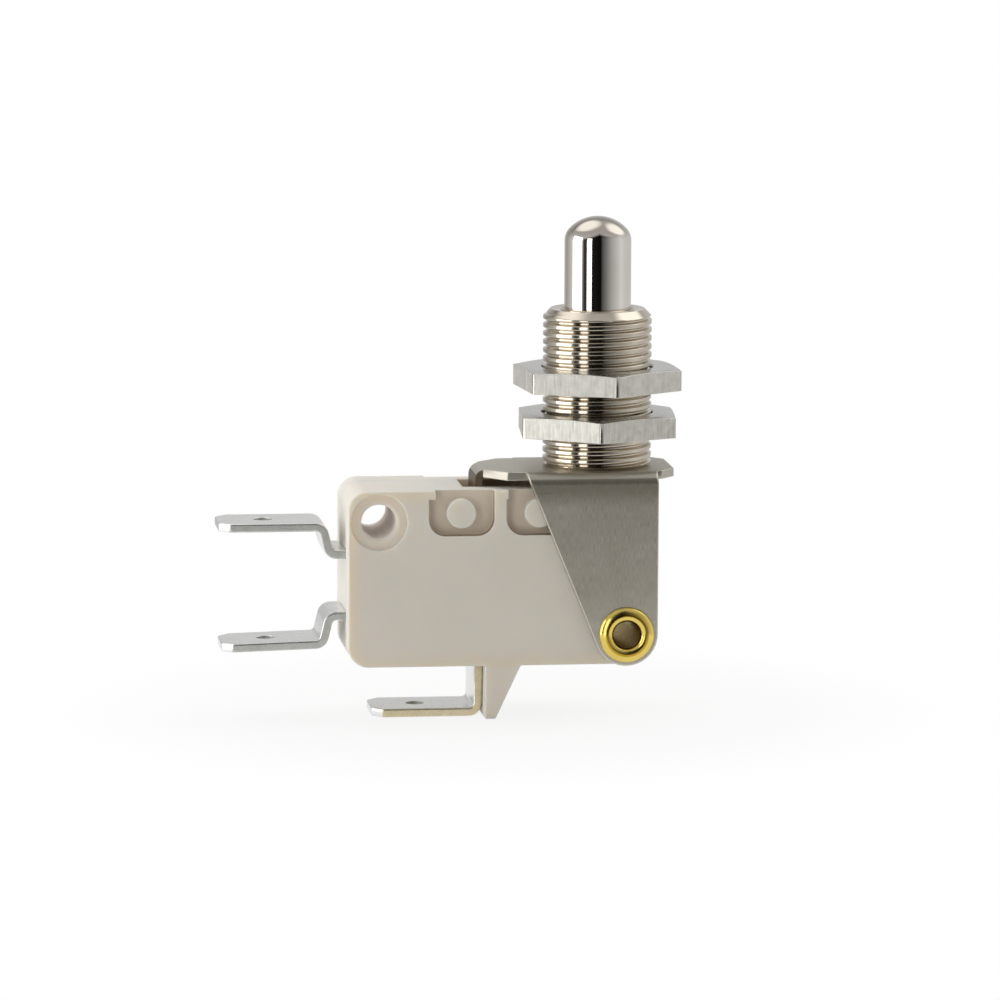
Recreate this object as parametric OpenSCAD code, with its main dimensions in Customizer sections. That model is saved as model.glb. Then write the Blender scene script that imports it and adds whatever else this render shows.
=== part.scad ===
// Panel-mount micro switch: a snap-action switch in a two-part moulded body, under a sheet bracket
// that carries a threaded bushing with two nuts and a sprung plunger.
// Millimetres. +Z runs up the plunger, and the origin is the middle of the panel seat,
// which is the top face of the lower nut. The front of the switch faces -Y.

/* [Body] */
// Length of the moulded body
body_len = 27.8; // [26.6:0.1:31]
// Height of the moulded body
body_h = 15.9; // [15.5:0.1:18]
// Depth of the body from front to rear
body_d = 10.3; // [10:0.1:12]
// Plunger axis to the body's right end
axis_to_end = 4.8; // [4.6:0.1:5.6]
// Room beside the terminals inside the body
strip_gap = 0.25; // [0.2:0.05:0.4]
// Thickness of the end walls and the floor
end_wall = 1.2; // [1:0.1:1.5]
// Thickness of the roof under the trough
roof_t = 1.2; // [1:0.1:1.6]
// Distance of the seam behind the middle of the body
seam_y = 2; // [1.9:0.1:2.4]
// Radius of the corner at the bottom left
foot_corner_r = 1.9; // [1.5:0.1:2.8]
// Radius of the corner at the top left
top_corner_r = 1.7; // [0.6:0.1:2]
// Radius of the corner at the top right
end_corner_r = 0.6; // [0.3:0.1:1.5]
// Radius of the corner at the eyelet
eyelet_corner_r = 2.8; // [1.5:0.1:2.8]
// Diameter of the mounting hole and of the eyelet's hole
hole_d = 3.1; // [2.9:0.1:3.4]
// Mounting hole to the left end of the body
hole_to_left = 2.8; // [2.7:0.1:3.4]
// Mounting hole to the top of the body
hole_to_top = 2.8; // [2.7:0.1:2.9]
// Eyelet's hole to the right end of the body
eyelet_to_end = 2.8; // [2.7:0.1:3.4]
// Eyelet's hole to the bottom of the body
eyelet_to_floor = 2.8; // [2.7:0.1:3.2]
// Diameter of the sunk ring round the mounting hole, and of the bosses inside
ring_d = 5.3; // [4.6:0.1:5.4]
// Depth of the sunk ring
ring_depth = 0.25; // [0.1:0.05:0.5]
// Chamfer at the mouth of the mounting hole
hole_chamfer = 0.25; // [0.1:0.05:0.4]

/* [Body details] */
// Depth of the trough in the top
trough_depth = 1; // [0.6:0.1:1.2]
// Width of the trough from front to rear
trough_w = 5.2; // [5.1:0.1:6]
// Reach of the trough to the left of the plunger axis
trough_left = 12.4; // [11.9:0.1:13.5]
// Reach of the trough to the right of the plunger axis
trough_right = 3.2; // [2.4:0.1:4]
// Width of a side recess
recess_w = 5.9; // [5:0.1:6.4]
// Height of a side recess, down from the top edge
recess_h = 4.1; // [3.6:0.1:4.4]
// Depth of a side recess
recess_depth = 1; // [0.4:0.1:1.2]
// Radius of the lower corners of a side recess
recess_r = 1.5; // [0.5:0.1:1.6]
// Middle of the first side recess, left of the plunger axis
recess_x = 12.8; // [12.4:0.1:13]
// Distance between the two side recesses
recess_pitch = 7; // [6.8:0.1:7.4]
// Width of the tooth at the upper left of a recess
tooth_w = 0.6; // [0.3:0.1:1]
// Height of that tooth
tooth_h = 0.8; // [0.4:0.1:1.2]
// Diameter of the round pip in a recess
pip_d = 2.6; // [2:0.1:3]
// Depth of the pip's middle below the top edge
pip_drop = 2.1; // [1.9:0.1:2.3]
// Width of the foot rib where it leaves the body
rib_root_w = 3.2; // [2:0.1:4]
// Width of the foot rib at its tip
rib_tip_w = 0.95; // [0.6:0.05:1.5]
// Height of the foot rib
rib_h = 4.8; // [3:0.1:6]

/* [Bracket] */
// Thickness of the bracket's sheet
sheet_t = 0.8; // [0.6:0.1:1]
// Inside radius of the bracket's bends
sheet_bend_r = 0.25; // [0.1:0.05:0.5]
// Height of the plate above the body
plate_gap = 0.75; // [0.6:0.05:1.2]
// Plunger axis to the middle of the hooked lip on the left
lip_x = 10.95; // [10.4:0.05:11.4]
// Plunger axis to the right end of the plate
plate_right = 6.6; // [6.2:0.1:7.5]
// Depth of the plate beyond the legs, front to rear
plate_w = 9.3; // [8.8:0.1:10]
// Depth of the lip, front to rear
lip_w = 4.8; // [3.5:0.1:4.9]
// Depth of the plate's right end, front to rear
plate_end_w = 6; // [4:0.1:7]
// Length of the corner cuts on the plate
plate_cut = 1.3; // [0.8:0.1:1.6]
// Reach of a leg's top to the left of the plunger axis
leg_left = 7.1; // [6.5:0.1:8]
// Radius of a leg's round end
leg_end_r = 2.85; // [2.6:0.05:3.2]
// Gap between a leg and the body
leg_fit = 0.05; // [0.02:0.01:0.1]
// Outside diameter of the eyelet's barrel
barrel_d = 3; // [2.8:0.05:3.05]
// Wall of the eyelet's barrel
barrel_t = 0.3; // [0.2:0.05:0.4]
// Diameter of the eyelet's heads
eyelet_head_d = 5; // [4.4:0.1:5.6]
// Height of the eyelet's heads
eyelet_head_h = 0.55; // [0.4:0.05:0.8]

/* [Bushing and nuts] */
// Diameter of the bushing over its thread
thread_d = 9.9; // [9.6:0.1:10.4]
// Length of the bushing above the plate
bushing_len = 14.15; // [13.5:0.05:16]
// Chamfer at the top of the bushing
bushing_chamfer = 0.5; // [0.3:0.1:0.8]
// Length of the guide that holds the plunger
guide_len = 5; // [4:0.1:5.5]
// Bore below the guide
spring_bore_d = 7.4; // [7.35:0.05:7.8]
// Diameter of the spigot in the plate
spigot_d = 8.6; // [8.4:0.1:9]
// Diameter of the staked rim under the plate
rim_d = 9.5; // [9.2:0.1:9.9]
// Width of a nut across its flats
nut_af = 13.75; // [13:0.05:16]
// Thickness of a nut
nut_t = 2; // [1.6:0.1:3]
// Drop of a nut's top face at its corners
nut_chamfer = 0.2; // [0.1:0.02:0.6]
// Height of the lower nut above the plate
lower_nut_up = 2.85; // [1:0.05:4]
// Space between the two nuts, which takes the panel
panel_gap = 2.1; // [1:0.1:3.5]
// Turn of the upper nut
upper_nut_turn = 36; // [0:1:60]
// Turn of the lower nut
lower_nut_turn = 25.5; // [0:0.5:60]

/* [Plunger] */
// Diameter of the plunger
plunger_d = 6; // [5.8:0.1:6.4]
// Height of the plunger above the bushing
plunger_out = 8.3; // [7:0.1:10]
// Height of the plunger's dome
dome_h = 2.2; // [1.9:0.1:2.6]
// Radius at the edge of the dome
dome_edge_r = 1.6; // [1.2:0.1:1.8]
// Diameter of the plunger's flange
flange_d = 7.2; // [6.9:0.1:7.3]
// Thickness of the plunger's flange
flange_t = 0.8; // [0.6:0.1:1.2]
// Bore inside the plunger
plunger_bore_d = 4.2; // [4.1:0.1:4.6]
// Metal left above that bore
plunger_roof = 2.9; // [2.6:0.1:4]
// Diameter of the push pin
pin_d = 2.5; // [2.2:0.1:2.8]
// Diameter of the push pin's head
pin_head_d = 4; // [3.6:0.1:4.05]
// Thickness of the push pin's head
pin_head_t = 1; // [0.6:0.1:1.5]
// Thickness of the ring that keeps the push pin
retainer_t = 0.6; // [0.4:0.1:0.8]
// Thickness of the washer that closes the bushing
seat_t = 0.6; // [0.4:0.1:0.7]
// Wire of the return spring
return_wire = 0.45; // [0.3:0.05:0.5]
// Turns of the return spring
return_turns = 6; // [4:1:7]
// Wire of the overtravel spring
over_wire = 0.35; // [0.25:0.05:0.45]
// Turns of the overtravel spring
over_turns = 9; // [6:1:11]

/* [Terminals] */
// Width of the blade terminals
tab_w = 6.3; // [5:0.1:6.4]
// Thickness of the blade terminals
tab_t = 0.8; // [0.6:0.1:0.9]
// Inside radius of the terminals' bends
tab_bend_r = 0.4; // [0.2:0.05:0.6]
// Diameter of the hole in a terminal
tab_hole_d = 1.65; // [1.3:0.05:2]
// Distance of that hole from the tip
tab_hole_back = 4.15; // [3.5:0.05:5]
// Length of the cuts at a terminal's tip
tip_cut = 1; // [0.8:0.1:1.8]
// Depth of those cuts, taken from each side
tip_cut_side = 1.1; // [0.8:0.1:1.6]
// Height of the upper terminal where it leaves the body
nc_exit = 9.95; // [9.8:0.05:10]
// Rise of the upper terminal outside the body
nc_rise = 2.5; // [1.8:0.1:3]
// Reach of the upper terminal beyond the body
nc_reach = 11.35; // [9:0.05:14]
// Height of the lower terminal where it leaves the body
no_exit = 4.4; // [4.2:0.05:4.6]
// Drop of the lower terminal outside the body
no_drop = 2.55; // [1.8:0.05:3]
// Reach of the lower terminal beyond the body
no_reach = 11.1; // [9:0.1:14]
// Droop of the lower terminal's blade, in degrees
no_droop = 1.7; // [0:0.1:3]
// Distance of the terminals' bends from the body
joggle_out = 1.45; // [1.2:0.05:2]
// Lean of the steep part between the bends
joggle_lean = 0.6; // [0:0.1:1]
// Common terminal's leg, left of the plunger axis
com_leg_x = 11.05; // [10.8:0.05:11.3]
// Drop of the common terminal's blade below the body
com_drop = 4.5; // [3.5:0.1:6]
// Reach of the common terminal's blade from its leg
com_reach = 9.55; // [8:0.05:11]

/* [Contacts] */
// Contacts, from the left end of the body
contact_in = 6.5; // [6.2:0.1:7]
// Diameter of the contacts' faces
contact_d = 3; // [2.4:0.1:3.2]
// Thickness of the fixed contacts' faces
contact_t = 1; // [0.8:0.05:1.1]
// Diameter of the contacts' shanks
shank_d = 1.6; // [1.2:0.1:1.8]
// Gap that opens and closes between the contacts
contact_gap = 0.9; // [0.8:0.05:1]
// Thickness of the contact blade
blade_t = 0.35; // [0.2:0.05:0.4]
// Width of the contact blade
blade_w = 5; // [4.6:0.1:5.6]
// Width of the opening between the blade's arms
blade_slot_w = 2.8; // [2.6:0.1:3]
// Blade's pivot, left of the plunger axis
pivot_x = 4; // [3.8:0.1:4.3]
// Diameter of the rolled ends on the blade's arms
roll_d = 0.8; // [0.6:0.1:1]
// Mean diameter of the snap spring
snap_d = 1.9; // [1.6:0.1:2]
// Wire of the snap spring
snap_wire = 0.3; // [0.2:0.05:0.35]
// Turns of the snap spring
snap_turns = 14; // [8:1:18]

/* [Button] */
// Diameter of the button
button_d = 3; // [2.6:0.1:3]
// Height of the button above the body
button_up = 2.3; // [2:0.1:2.6]
// Diameter of the button's flange
button_flange_d = 4.4; // [3.8:0.1:4.8]
// Thickness of the button's flange
button_flange_t = 0.8; // [0.6:0.1:1.2]
// Thickness of the tongue that takes the snap spring
tongue_t = 1; // [0.8:0.1:1.2]
// Rise of the snap spring from the blade to the tongue
snap_rise = 1.3; // [1.1:0.1:1.5]

/* [Fits] */
// Radial gap of parts that slide in a bore
slide_fit = 0.05; // [0.03:0.01:0.08]
// Gap round parts that are fixed in a slot or bore
seat_fit = 0.02; // [0.01:0.01:0.04]
// Radial gap of the nuts on the thread
nut_fit = 0.05; // [0.03:0.01:0.08]

/* [Hidden] */
$fn = 64;
// Overshoot of cuts past the faces they open
over = 0.5;
// Length that reaches past the whole switch
far = 60;

// Heights, from the panel seat down to the body and up to the plunger
plate_top = -nut_t - lower_nut_up;
plate_low = plate_top - sheet_t;
body_top = plate_low - plate_gap;
body_low = body_top - body_h;
trough_floor = body_top - trough_depth;
cavity_top = trough_floor - roof_t;
cavity_low = body_low + end_wall;
bushing_top = plate_top + bushing_len;
guide_low = bushing_top - guide_len;
plunger_top = bushing_top + plunger_out;
plunger_low = guide_low - flange_t - seat_fit;
plunger_bore_top = plunger_top - plunger_roof;
head_low = plunger_low + retainer_t;
seat_top = body_top + seat_t;
button_top = body_top + button_up;

// Places across the body
body_left = axis_to_end - body_len;
cavity_y = tab_w / 2 + strip_gap;
eyelet_at = [axis_to_end - eyelet_to_end, body_low + eyelet_to_floor];
hole_at = [body_left + hole_to_left, body_top - hole_to_top];
contact_x = -body_left - contact_in;
leg_mid = body_d / 2 + leg_fit + sheet_t / 2;
leg_face = leg_mid + sheet_t / 2;
com_leg_right = -com_leg_x + tab_t / 2;

// The mechanism's levels
nc_z = body_low + nc_exit;
no_z = body_low + no_exit;
nc_face = nc_z - tab_t / 2 - contact_t;
no_face = no_z + tab_t / 2 + contact_t;
moving_top = nc_face - seat_fit;
moving_t = nc_face - no_face - contact_gap;
blade_z = moving_top - moving_t / 2;
post_x = -pivot_x + tab_t / 2;
com_floor_z = cavity_low + tab_t / 2;
// Overlap that joins the solids of one piece
join = 0.1;
// Metal beyond a fixed contact on its terminal, and beyond the moving contact on the blade
contact_tail = 0.5;
contact_rim = 0.2;
// Ends of the upper and lower terminals inside, and the place of their bends outside
contact_end = -contact_x + contact_d / 2 + contact_tail;
bend_x = body_left - joggle_out;
// Holes that hook the snap spring, in the blade's root and in the button's tongue; the wire can tilt in them
hook_back = 1.6;
slot_back = 0.8;
tongue_x = 1;
hook_room = 2.4;
blade_hook_x = -contact_x + contact_d / 2 + hook_back;
blade_slot_x = blade_hook_x + slot_back;
tongue_hook = [-tongue_x, blade_z + snap_rise];
hook_hole_d = hook_room * snap_wire;
// Gap between a spring's coils and the bore round them
coil_gap = 0.15;

// Colours of the materials
cream = "#ece3cc";
nickel = "#bdbab2";
steel = "#cfd0d2";
brass = "#cfa64e";
tin = "#cfcac2";
silver = "#dedede";
amber = "#b5833f";

// Flat outlines drawn as x and z, made solid from y0 to y1
module along_y(y0, y1) {
    translate([0, y1, 0]) rotate([90, 0, 0]) linear_extrude(y1 - y0) children();
}

// Flat outlines drawn as y and z, made solid from x0 to x1
module along_x(x0, x1) {
    translate([x0, 0, 0]) rotate([90, 0, 90]) linear_extrude(x1 - x0) children();
}

// A round bar or hole that runs along y at a point of the x-z plane
module bar_y(at, d, y0, y1) {
    along_y(y0, y1) translate(at) circle(d = d);
}

// What is cut away to round a square corner; turn 0 is the lower left one
module corner_waste(at, turn, r) {
    translate(at) rotate(turn) difference() {
        translate([-over, -over]) square(r + over);
        translate([r, r]) circle(r);
    }
}

function unit(v) = v / norm(v);
function left_of(v) = [-v.y, v.x];
function turned(v, a) = [v.x * cos(a) - v.y * sin(a), v.x * sin(a) + v.y * cos(a)];
function reversed(list) = [for (i = [len(list) - 1 : -1 : 0]) list[i]];

// Points of a bend at b, on the line that runs side to the left of the middle line
function bend(a, b, c, r, side) =
    let (d1 = unit(b - a), d2 = unit(c - b), way = sign(cross(d1, d2)), turn = acos(d1 * d2))
    let (middle = b - d1 * r * tan(turn / 2) + left_of(d1) * way * r, steps = 6)
    [for (i = [0 : steps]) middle - turned(left_of(d1) * way, way * turn * i / steps) * (r - way * side)];

// One edge of a bent strip whose middle line runs through the points
function strip_edge(pts, r, side) =
    let (n = len(pts) - 1)
    concat([pts[0] + left_of(unit(pts[1] - pts[0])) * side],
           [for (i = [1 : n - 1]) each bend(pts[i - 1], pts[i], pts[i + 1], r, side)],
           [pts[n] + left_of(unit(pts[n] - pts[n - 1])) * side]);

// Section of a sheet of thickness t, bent with an inside radius
module strip(pts, t, inside_r) {
    r = inside_r + t / 2;
    polygon(concat(strip_edge(pts, r, t / 2), reversed(strip_edge(pts, r, -t / 2))));
}

// Round wire along points in space; its frame is carried on from ring to ring
module wire(pts, d, sides = 6) {
    n = len(pts);
    dirs = [for (i = [0 : n - 1]) unit(pts[min(i + 1, n - 1)] - pts[max(i - 1, 0)])];
    start = unit(cross(dirs[0], abs(dirs[0].z) < 0.9 ? [0, 0, 1] : [0, 1, 0]));
    normals = [for (i = 0, v = start; i < n; i = i + 1,
                    v = i < n ? unit(v - dirs[i] * (v * dirs[i])) : v) v];
    rings = [for (i = [0 : n - 1]) let (side = cross(dirs[i], normals[i])) for (j = [0 : sides - 1])
             pts[i] + d / 2 * (cos(360 * j / sides) * normals[i] + sin(360 * j / sides) * side)];
    walls = [for (i = [0 : n - 2]) for (j = [0 : sides - 1])
             let (a = i * sides + j, b = i * sides + (j + 1) % sides)
             each [[a, a + sides, b + sides], [a, b + sides, b]]];
    first = [for (j = [0 : sides - 1]) j];
    last = [for (j = [sides - 1 : -1 : 0]) (n - 1) * sides + j];
    polyhedron(rings, concat([first], walls, [last]), convexity = 10);
}

// Middle line of a compression spring that stands from z0 to z1, with a flat turn at each end
function spring_line(d, wire_d, z0, z1, turns, steps = 12) =
    let (rise = z1 - z0 - wire_d, pitch = (rise - 2 * wire_d) / (turns - 2))
    [for (i = [0 : turns * steps]) let (t = i / steps, a = 360 * t)
     [d / 2 * cos(a), d / 2 * sin(a), z0 + wire_d / 2
      + (t < 1 ? t * wire_d : t > turns - 1 ? rise - (turns - t) * wire_d : wire_d + (t - 1) * pitch)]];

// Front outline of the body, as x and z
module body_outline() {
    difference() {
        translate([body_left, body_low]) square([body_len, body_h]);
        corner_waste([body_left, body_low], 0, foot_corner_r);
        corner_waste([axis_to_end, body_low], 90, eyelet_corner_r);
        corner_waste([axis_to_end, body_top], 180, end_corner_r);
        corner_waste([body_left, body_top], 270, top_corner_r);
    }
}

// Outline of the foot rib that backs the common terminal's leg, as x and z
module rib_outline() {
    left = com_leg_right + seat_fit;
    polygon([[left, body_low + over], [left + rib_root_w, body_low + over], [left + rib_root_w, body_low],
             [left + rib_tip_w, body_low - rib_h], [left, body_low - rib_h]]);
}

// Half of the body from y0 to y1, with everything cut out of it
module body_half(y0, y1) {
    color(cream) difference() {
        union() {
            along_y(y0, y1) body_outline();
            along_y(y0, y1) rib_outline();
        }
        body_cuts();
    }
}

// Side recess with its tooth and pip, as x and z
module recess_outline(middle) {
    recess_low = body_top - recess_h;
    left = middle - recess_w / 2;
    difference() {
        translate([left, recess_low]) square([recess_w, recess_h + over]);
        corner_waste([left, recess_low], 0, recess_r);
        corner_waste([left + recess_w, recess_low], 90, recess_r);
        translate([left, body_top - tooth_h]) square([tooth_w, tooth_h + over]);
        translate([middle, body_top - pip_drop]) circle(d = pip_d);
    }
}

// Room inside the body, with a boss left round each of the two holes
module cavity_outline() {
    difference() {
        translate([body_left + end_wall, cavity_low])
            square([body_len - 2 * end_wall, cavity_top - cavity_low]);
        for (at = [hole_at, eyelet_at]) translate(at) circle(d = ring_d);
    }
}

// Slot for a blade terminal, through the left wall and clear of the bosses
module end_slot(z) {
    along_x(body_left - over, contact_end + seat_fit)
        translate([0, z]) square([tab_w + 2 * seat_fit, tab_t + 2 * seat_fit], center = true);
}

// Everything that is cut out of the two halves of the body
module body_cuts() {
    along_y(-cavity_y, cavity_y) cavity_outline();
    for (at = [hole_at, eyelet_at]) bar_y(at, hole_d, -far, far);
    for (side = [-1, 1]) {
        face = side * body_d / 2;
        inner = face - side * ring_depth;
        bar_y(hole_at, ring_d, min(inner, face + side * over), max(inner, face + side * over));
        translate([hole_at.x, inner, hole_at.y]) rotate([side * 90, 0, 0])
            cylinder(d1 = hole_d + 2 * hole_chamfer, d2 = hole_d, h = hole_chamfer);
        floor_y = face - side * recess_depth;
        along_y(min(floor_y, face + side * over), max(floor_y, face + side * over))
            for (i = [0, 1]) recess_outline(-recess_x + i * recess_pitch);
    }
    translate([-trough_left, -trough_w / 2, trough_floor])
        cube([trough_left + trough_right, trough_w, trough_depth + over]);
    translate([0, 0, cavity_top - over]) cylinder(d = button_d + 2 * slide_fit, h = roof_t + 2 * over);
    end_slot(nc_z);
    end_slot(no_z);
    floor_slot();
}

// Slot for the common terminal's leg in the floor, relieved inside where the leg bends over
module floor_slot() {
    leg = tab_t + 2 * seat_fit;
    translate([-com_leg_x - leg / 2, -tab_w / 2 - seat_fit, body_low - over])
        cube([leg, tab_w + 2 * seat_fit, end_wall + 2 * over]);
    translate([-com_leg_x - leg / 2, -tab_w / 2 - seat_fit, cavity_low - tab_bend_r])
        cube([leg + tab_bend_r, tab_w + 2 * seat_fit, tab_bend_r + over]);
}

module housing() body_half(-body_d / 2, seam_y);

module cover() body_half(seam_y, body_d / 2);

// Plan of a blade whose tip lies at x, running right, with its corners cut
module tab_plan(tip) {
    half = tab_w / 2;
    polygon([[tip, tip_cut_side - half], [tip + tip_cut, -half], [far, -half],
             [far, half], [tip + tip_cut, half], [tip, half - tip_cut_side]]);
}

// A blade terminal bent along a line of x and z points that starts at its tip
module terminal(line) {
    color(tin) difference() {
        intersection() {
            along_y(-tab_w / 2, tab_w / 2) strip(line, tab_t, tab_bend_r);
            translate([0, 0, -far]) linear_extrude(2 * far) tab_plan(line[0].x);
        }
        translate([line[0].x + tab_hole_back, 0, line[0].y - 2 * tab_t]) cylinder(d = tab_hole_d, h = 4 * tab_t);
        children();
    }
}

// Hole for a contact's shank
module shank_hole(z) {
    translate([-contact_x, 0, z - tab_t]) cylinder(d = shank_d + 2 * seat_fit, h = 2 * tab_t);
}

module nc_terminal() {
    tip = [body_left - nc_reach, nc_z + nc_rise];
    terminal([tip, [bend_x - joggle_lean, tip.y], [bend_x, nc_z], [contact_end, nc_z]]) shank_hole(nc_z);
}

module no_terminal() {
    foot = [bend_x - joggle_lean, no_z - no_drop];
    tip_x = body_left - no_reach;
    tip = [tip_x, foot.y - (foot.x - tip_x) * tan(no_droop)];
    terminal([tip, foot, [bend_x, no_z], [contact_end, no_z]]) shank_hole(no_z);
}

// Common terminal: blade, leg, floor strip and the forked post that the contact blade rocks on
module common_terminal() {
    // The post's tips above the pivot, and the fork's depth below it
    tip_up = 1.2 * roll_d;
    fork_down = 2.6;
    fork_w = blade_slot_w + 2 * join;
    post_top = blade_z + tip_up;
    line = [[-com_leg_x - com_reach, body_low - com_drop], [-com_leg_x, body_low - com_drop],
            [-com_leg_x, com_floor_z], [post_x, com_floor_z], [post_x, post_top]];
    terminal(line) {
        translate([post_x, 0, post_top]) cube([2 * tab_t, fork_w, 2 * (tip_up + fork_down)], center = true);
        bar_y([-pivot_x, blade_z], roll_d + 2 * slide_fit, -far, far);
    }
}

// Fixed contact: a face, a shank through the terminal and a clenched head; way is the face's direction
module fixed_contact(z, way) {
    clench_t = 0.3;
    clench_d = shank_d + 0.7;
    color(silver) translate([-contact_x, 0, z]) mirror([0, 0, way < 0 ? 1 : 0]) {
        translate([0, 0, tab_t / 2]) cylinder(d = contact_d, h = contact_t);
        translate([0, 0, -tab_t / 2 - join / 2]) cylinder(d = shank_d, h = tab_t + join);
        translate([0, 0, -tab_t / 2 - clench_t]) cylinder(d = clench_d, h = clench_t);
    }
}

module nc_contact() fixed_contact(nc_z, -1);

module no_contact() fixed_contact(no_z, 1);

// Forked blade: a root with the moving contact, two arms and a rolled end on each arm
module contact_blade() {
    left_end = -contact_x - contact_d / 2 - contact_rim;
    color(brass) {
        difference() {
            translate([left_end, -blade_w / 2, blade_z - blade_t / 2])
                cube([-pivot_x - left_end, blade_w, blade_t]);
            translate([blade_slot_x, -blade_slot_w / 2, blade_z - blade_t])
                cube([far, blade_slot_w, 2 * blade_t]);
            for (at = [[-contact_x, shank_d], [blade_hook_x, hook_hole_d]])
                translate([at[0], 0, blade_z - blade_t]) cylinder(d = at[1] + 2 * seat_fit, h = 2 * blade_t);
        }
        arm_w = (blade_w - blade_slot_w) / 2;
        for (side = [-1, 1]) translate([0, side * (blade_w - arm_w) / 2, 0])
            bar_y([-pivot_x, blade_z], roll_d, -arm_w / 2, arm_w / 2);
    }
}

// Moving contact: a face on each side of the blade, joined by a shank
module moving_contact() {
    face_t = (moving_t - blade_t) / 2;
    color(silver) translate([-contact_x, 0, blade_z]) {
        cylinder(d = shank_d, h = blade_t + 2 * join, center = true);
        for (side = [0, 1]) mirror([0, 0, side]) translate([0, 0, blade_t / 2])
            cylinder(d = contact_d, h = face_t);
    }
}

// Tension coil with a hook through the blade's root and one through the button's tongue
module snap_spring() {
    steps = 10;
    // Straight wire from each hole to the coil, the bow at its ends, and the reach past the pierced sheet
    blade_lead = 1.6;
    tongue_lead = 2;
    bow = 0.5;
    past = 1.2 * snap_wire;
    a = [blade_hook_x, 0, blade_z];
    b = [tongue_hook.x, 0, tongue_hook.y];
    axis = unit(b - a);
    up = cross(axis, [0, 1, 0]);
    start = a + blade_lead * axis;
    end = b - tongue_lead * axis;
    above = [0, 0, blade_t / 2 + past];
    beside = [0, tongue_t / 2 + past, 0];
    coil = [for (i = [0 : snap_turns * steps]) let (t = i / (snap_turns * steps), ang = 360 * i / steps)
            start + (end - start) * t - snap_d / 2 * (cos(ang) * [0, 1, 0] + sin(ang) * up)];
    color(steel) wire(concat([a - above, a + above, a + above + bow * axis, start - bow * axis], coil,
                             [end + bow * axis, b - beside - bow * axis, b - beside, b + beside]), snap_wire);
}

// Button: pin through the roof, flange under it, stem and the tongue for the snap spring
module button() {
    edge = 0.3;
    flange_low = cavity_top - seat_fit - button_flange_t;
    tongue_low = tongue_hook.y - hook_hole_d;
    tongue_left = tongue_hook.x - hook_hole_d;
    color(amber) difference() {
        union() {
            translate([0, 0, flange_low]) cylinder(d = button_flange_d, h = button_flange_t);
            translate([0, 0, flange_low]) cylinder(d = button_d, h = button_top - edge - flange_low);
            translate([0, 0, button_top - edge]) cylinder(d1 = button_d, d2 = button_d - 2 * edge, h = edge);
            translate([tongue_left, -tongue_t / 2, tongue_low])
                cube([button_d / 2 - tongue_left, tongue_t, flange_low - tongue_low + join]);
        }
        bar_y(tongue_hook, hook_hole_d, -far, far);
    }
}

// Side view of the bracket: round end at the eyelet, slanted left edge, full length at the plate
module leg_outline() {
    top_left = [-leg_left, plate_top];
    to_top = top_left - eyelet_at;
    tangent = eyelet_at + leg_end_r * turned(unit(to_top), acos(leg_end_r / norm(to_top)));
    right = eyelet_at.x + leg_end_r;
    translate(eyelet_at) circle(leg_end_r);
    polygon([tangent, eyelet_at, [right, eyelet_at.y], [right, plate_top], top_left]);
}

// Plan of the plate, as x and y, with its corners cut
module plate_outline() {
    left = -lip_x + sheet_t / 2 + sheet_bend_r;
    polygon([[left, -lip_w / 2], [left + plate_cut, -plate_w / 2],
             [plate_right - plate_cut, -plate_w / 2], [plate_right, -plate_end_w / 2],
             [plate_right, plate_end_w / 2], [plate_right - plate_cut, plate_w / 2],
             [left + plate_cut, plate_w / 2], [left, lip_w / 2]]);
}

// Bent sheet: plate, two legs down the sides and a lip that hooks into the trough
module bracket() {
    mid = plate_low + sheet_t / 2;
    leg_low = eyelet_at.y - leg_end_r - over;
    color(nickel) difference() {
        union() {
            intersection() {
                along_x(-leg_left, eyelet_at.x + leg_end_r)
                    strip([[-leg_mid, leg_low], [-leg_mid, mid], [leg_mid, mid], [leg_mid, leg_low]],
                          sheet_t, sheet_bend_r);
                along_y(-far, far) leg_outline();
            }
            translate([0, 0, plate_low]) linear_extrude(sheet_t) plate_outline();
            along_y(-lip_w / 2, lip_w / 2)
                strip([[-leg_left, mid], [-lip_x, mid], [-lip_x, trough_floor]], sheet_t, sheet_bend_r);
        }
        translate([0, 0, plate_low - over]) cylinder(d = spigot_d + 2 * seat_fit, h = sheet_t + 2 * over);
        bar_y(eyelet_at, hole_d, -far, far);
    }
}

// Hollow rivet: a thin barrel with a rolled head outside each leg
module eyelet() {
    bore_r = barrel_d / 2 - barrel_t;
    head_r = eyelet_head_d / 2;
    roll_x = head_r - eyelet_head_h;
    mouth_x = bore_r + eyelet_head_h;
    color(brass) translate([eyelet_at.x, 0, eyelet_at.y]) rotate([90, 0, 0]) rotate_extrude() {
        translate([bore_r, -leg_face]) square([barrel_t, 2 * leg_face]);
        for (side = [0, 1]) mirror([0, side]) translate([0, leg_face]) difference() {
            union() {
                translate([bore_r, 0]) square([roll_x - bore_r, eyelet_head_h]);
                intersection() {
                    translate([roll_x, 0]) circle(eyelet_head_h);
                    translate([roll_x, 0]) square(eyelet_head_h);
                }
            }
            difference() {
                translate([bore_r - over, 0]) square([eyelet_head_h + over, eyelet_head_h + over]);
                translate([mouth_x, 0]) circle(eyelet_head_h);
            }
        }
    }
}

// Threaded tube: guide for the plunger above, room for the spring below, staked rim under the plate
module bushing() {
    thread_r = thread_d / 2;
    guide_r = plunger_d / 2 + slide_fit;
    mouth = 0.3;
    color(nickel) rotate_extrude() polygon([
        [spring_bore_d / 2, body_top], [rim_d / 2, body_top], [rim_d / 2, plate_low],
        [spigot_d / 2, plate_low], [spigot_d / 2, plate_top], [thread_r, plate_top],
        [thread_r, bushing_top - bushing_chamfer], [thread_r - bushing_chamfer, bushing_top],
        [guide_r + mouth, bushing_top], [guide_r, bushing_top - mouth], [guide_r, guide_low],
        [spring_bore_d / 2, guide_low]]);
}

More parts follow.
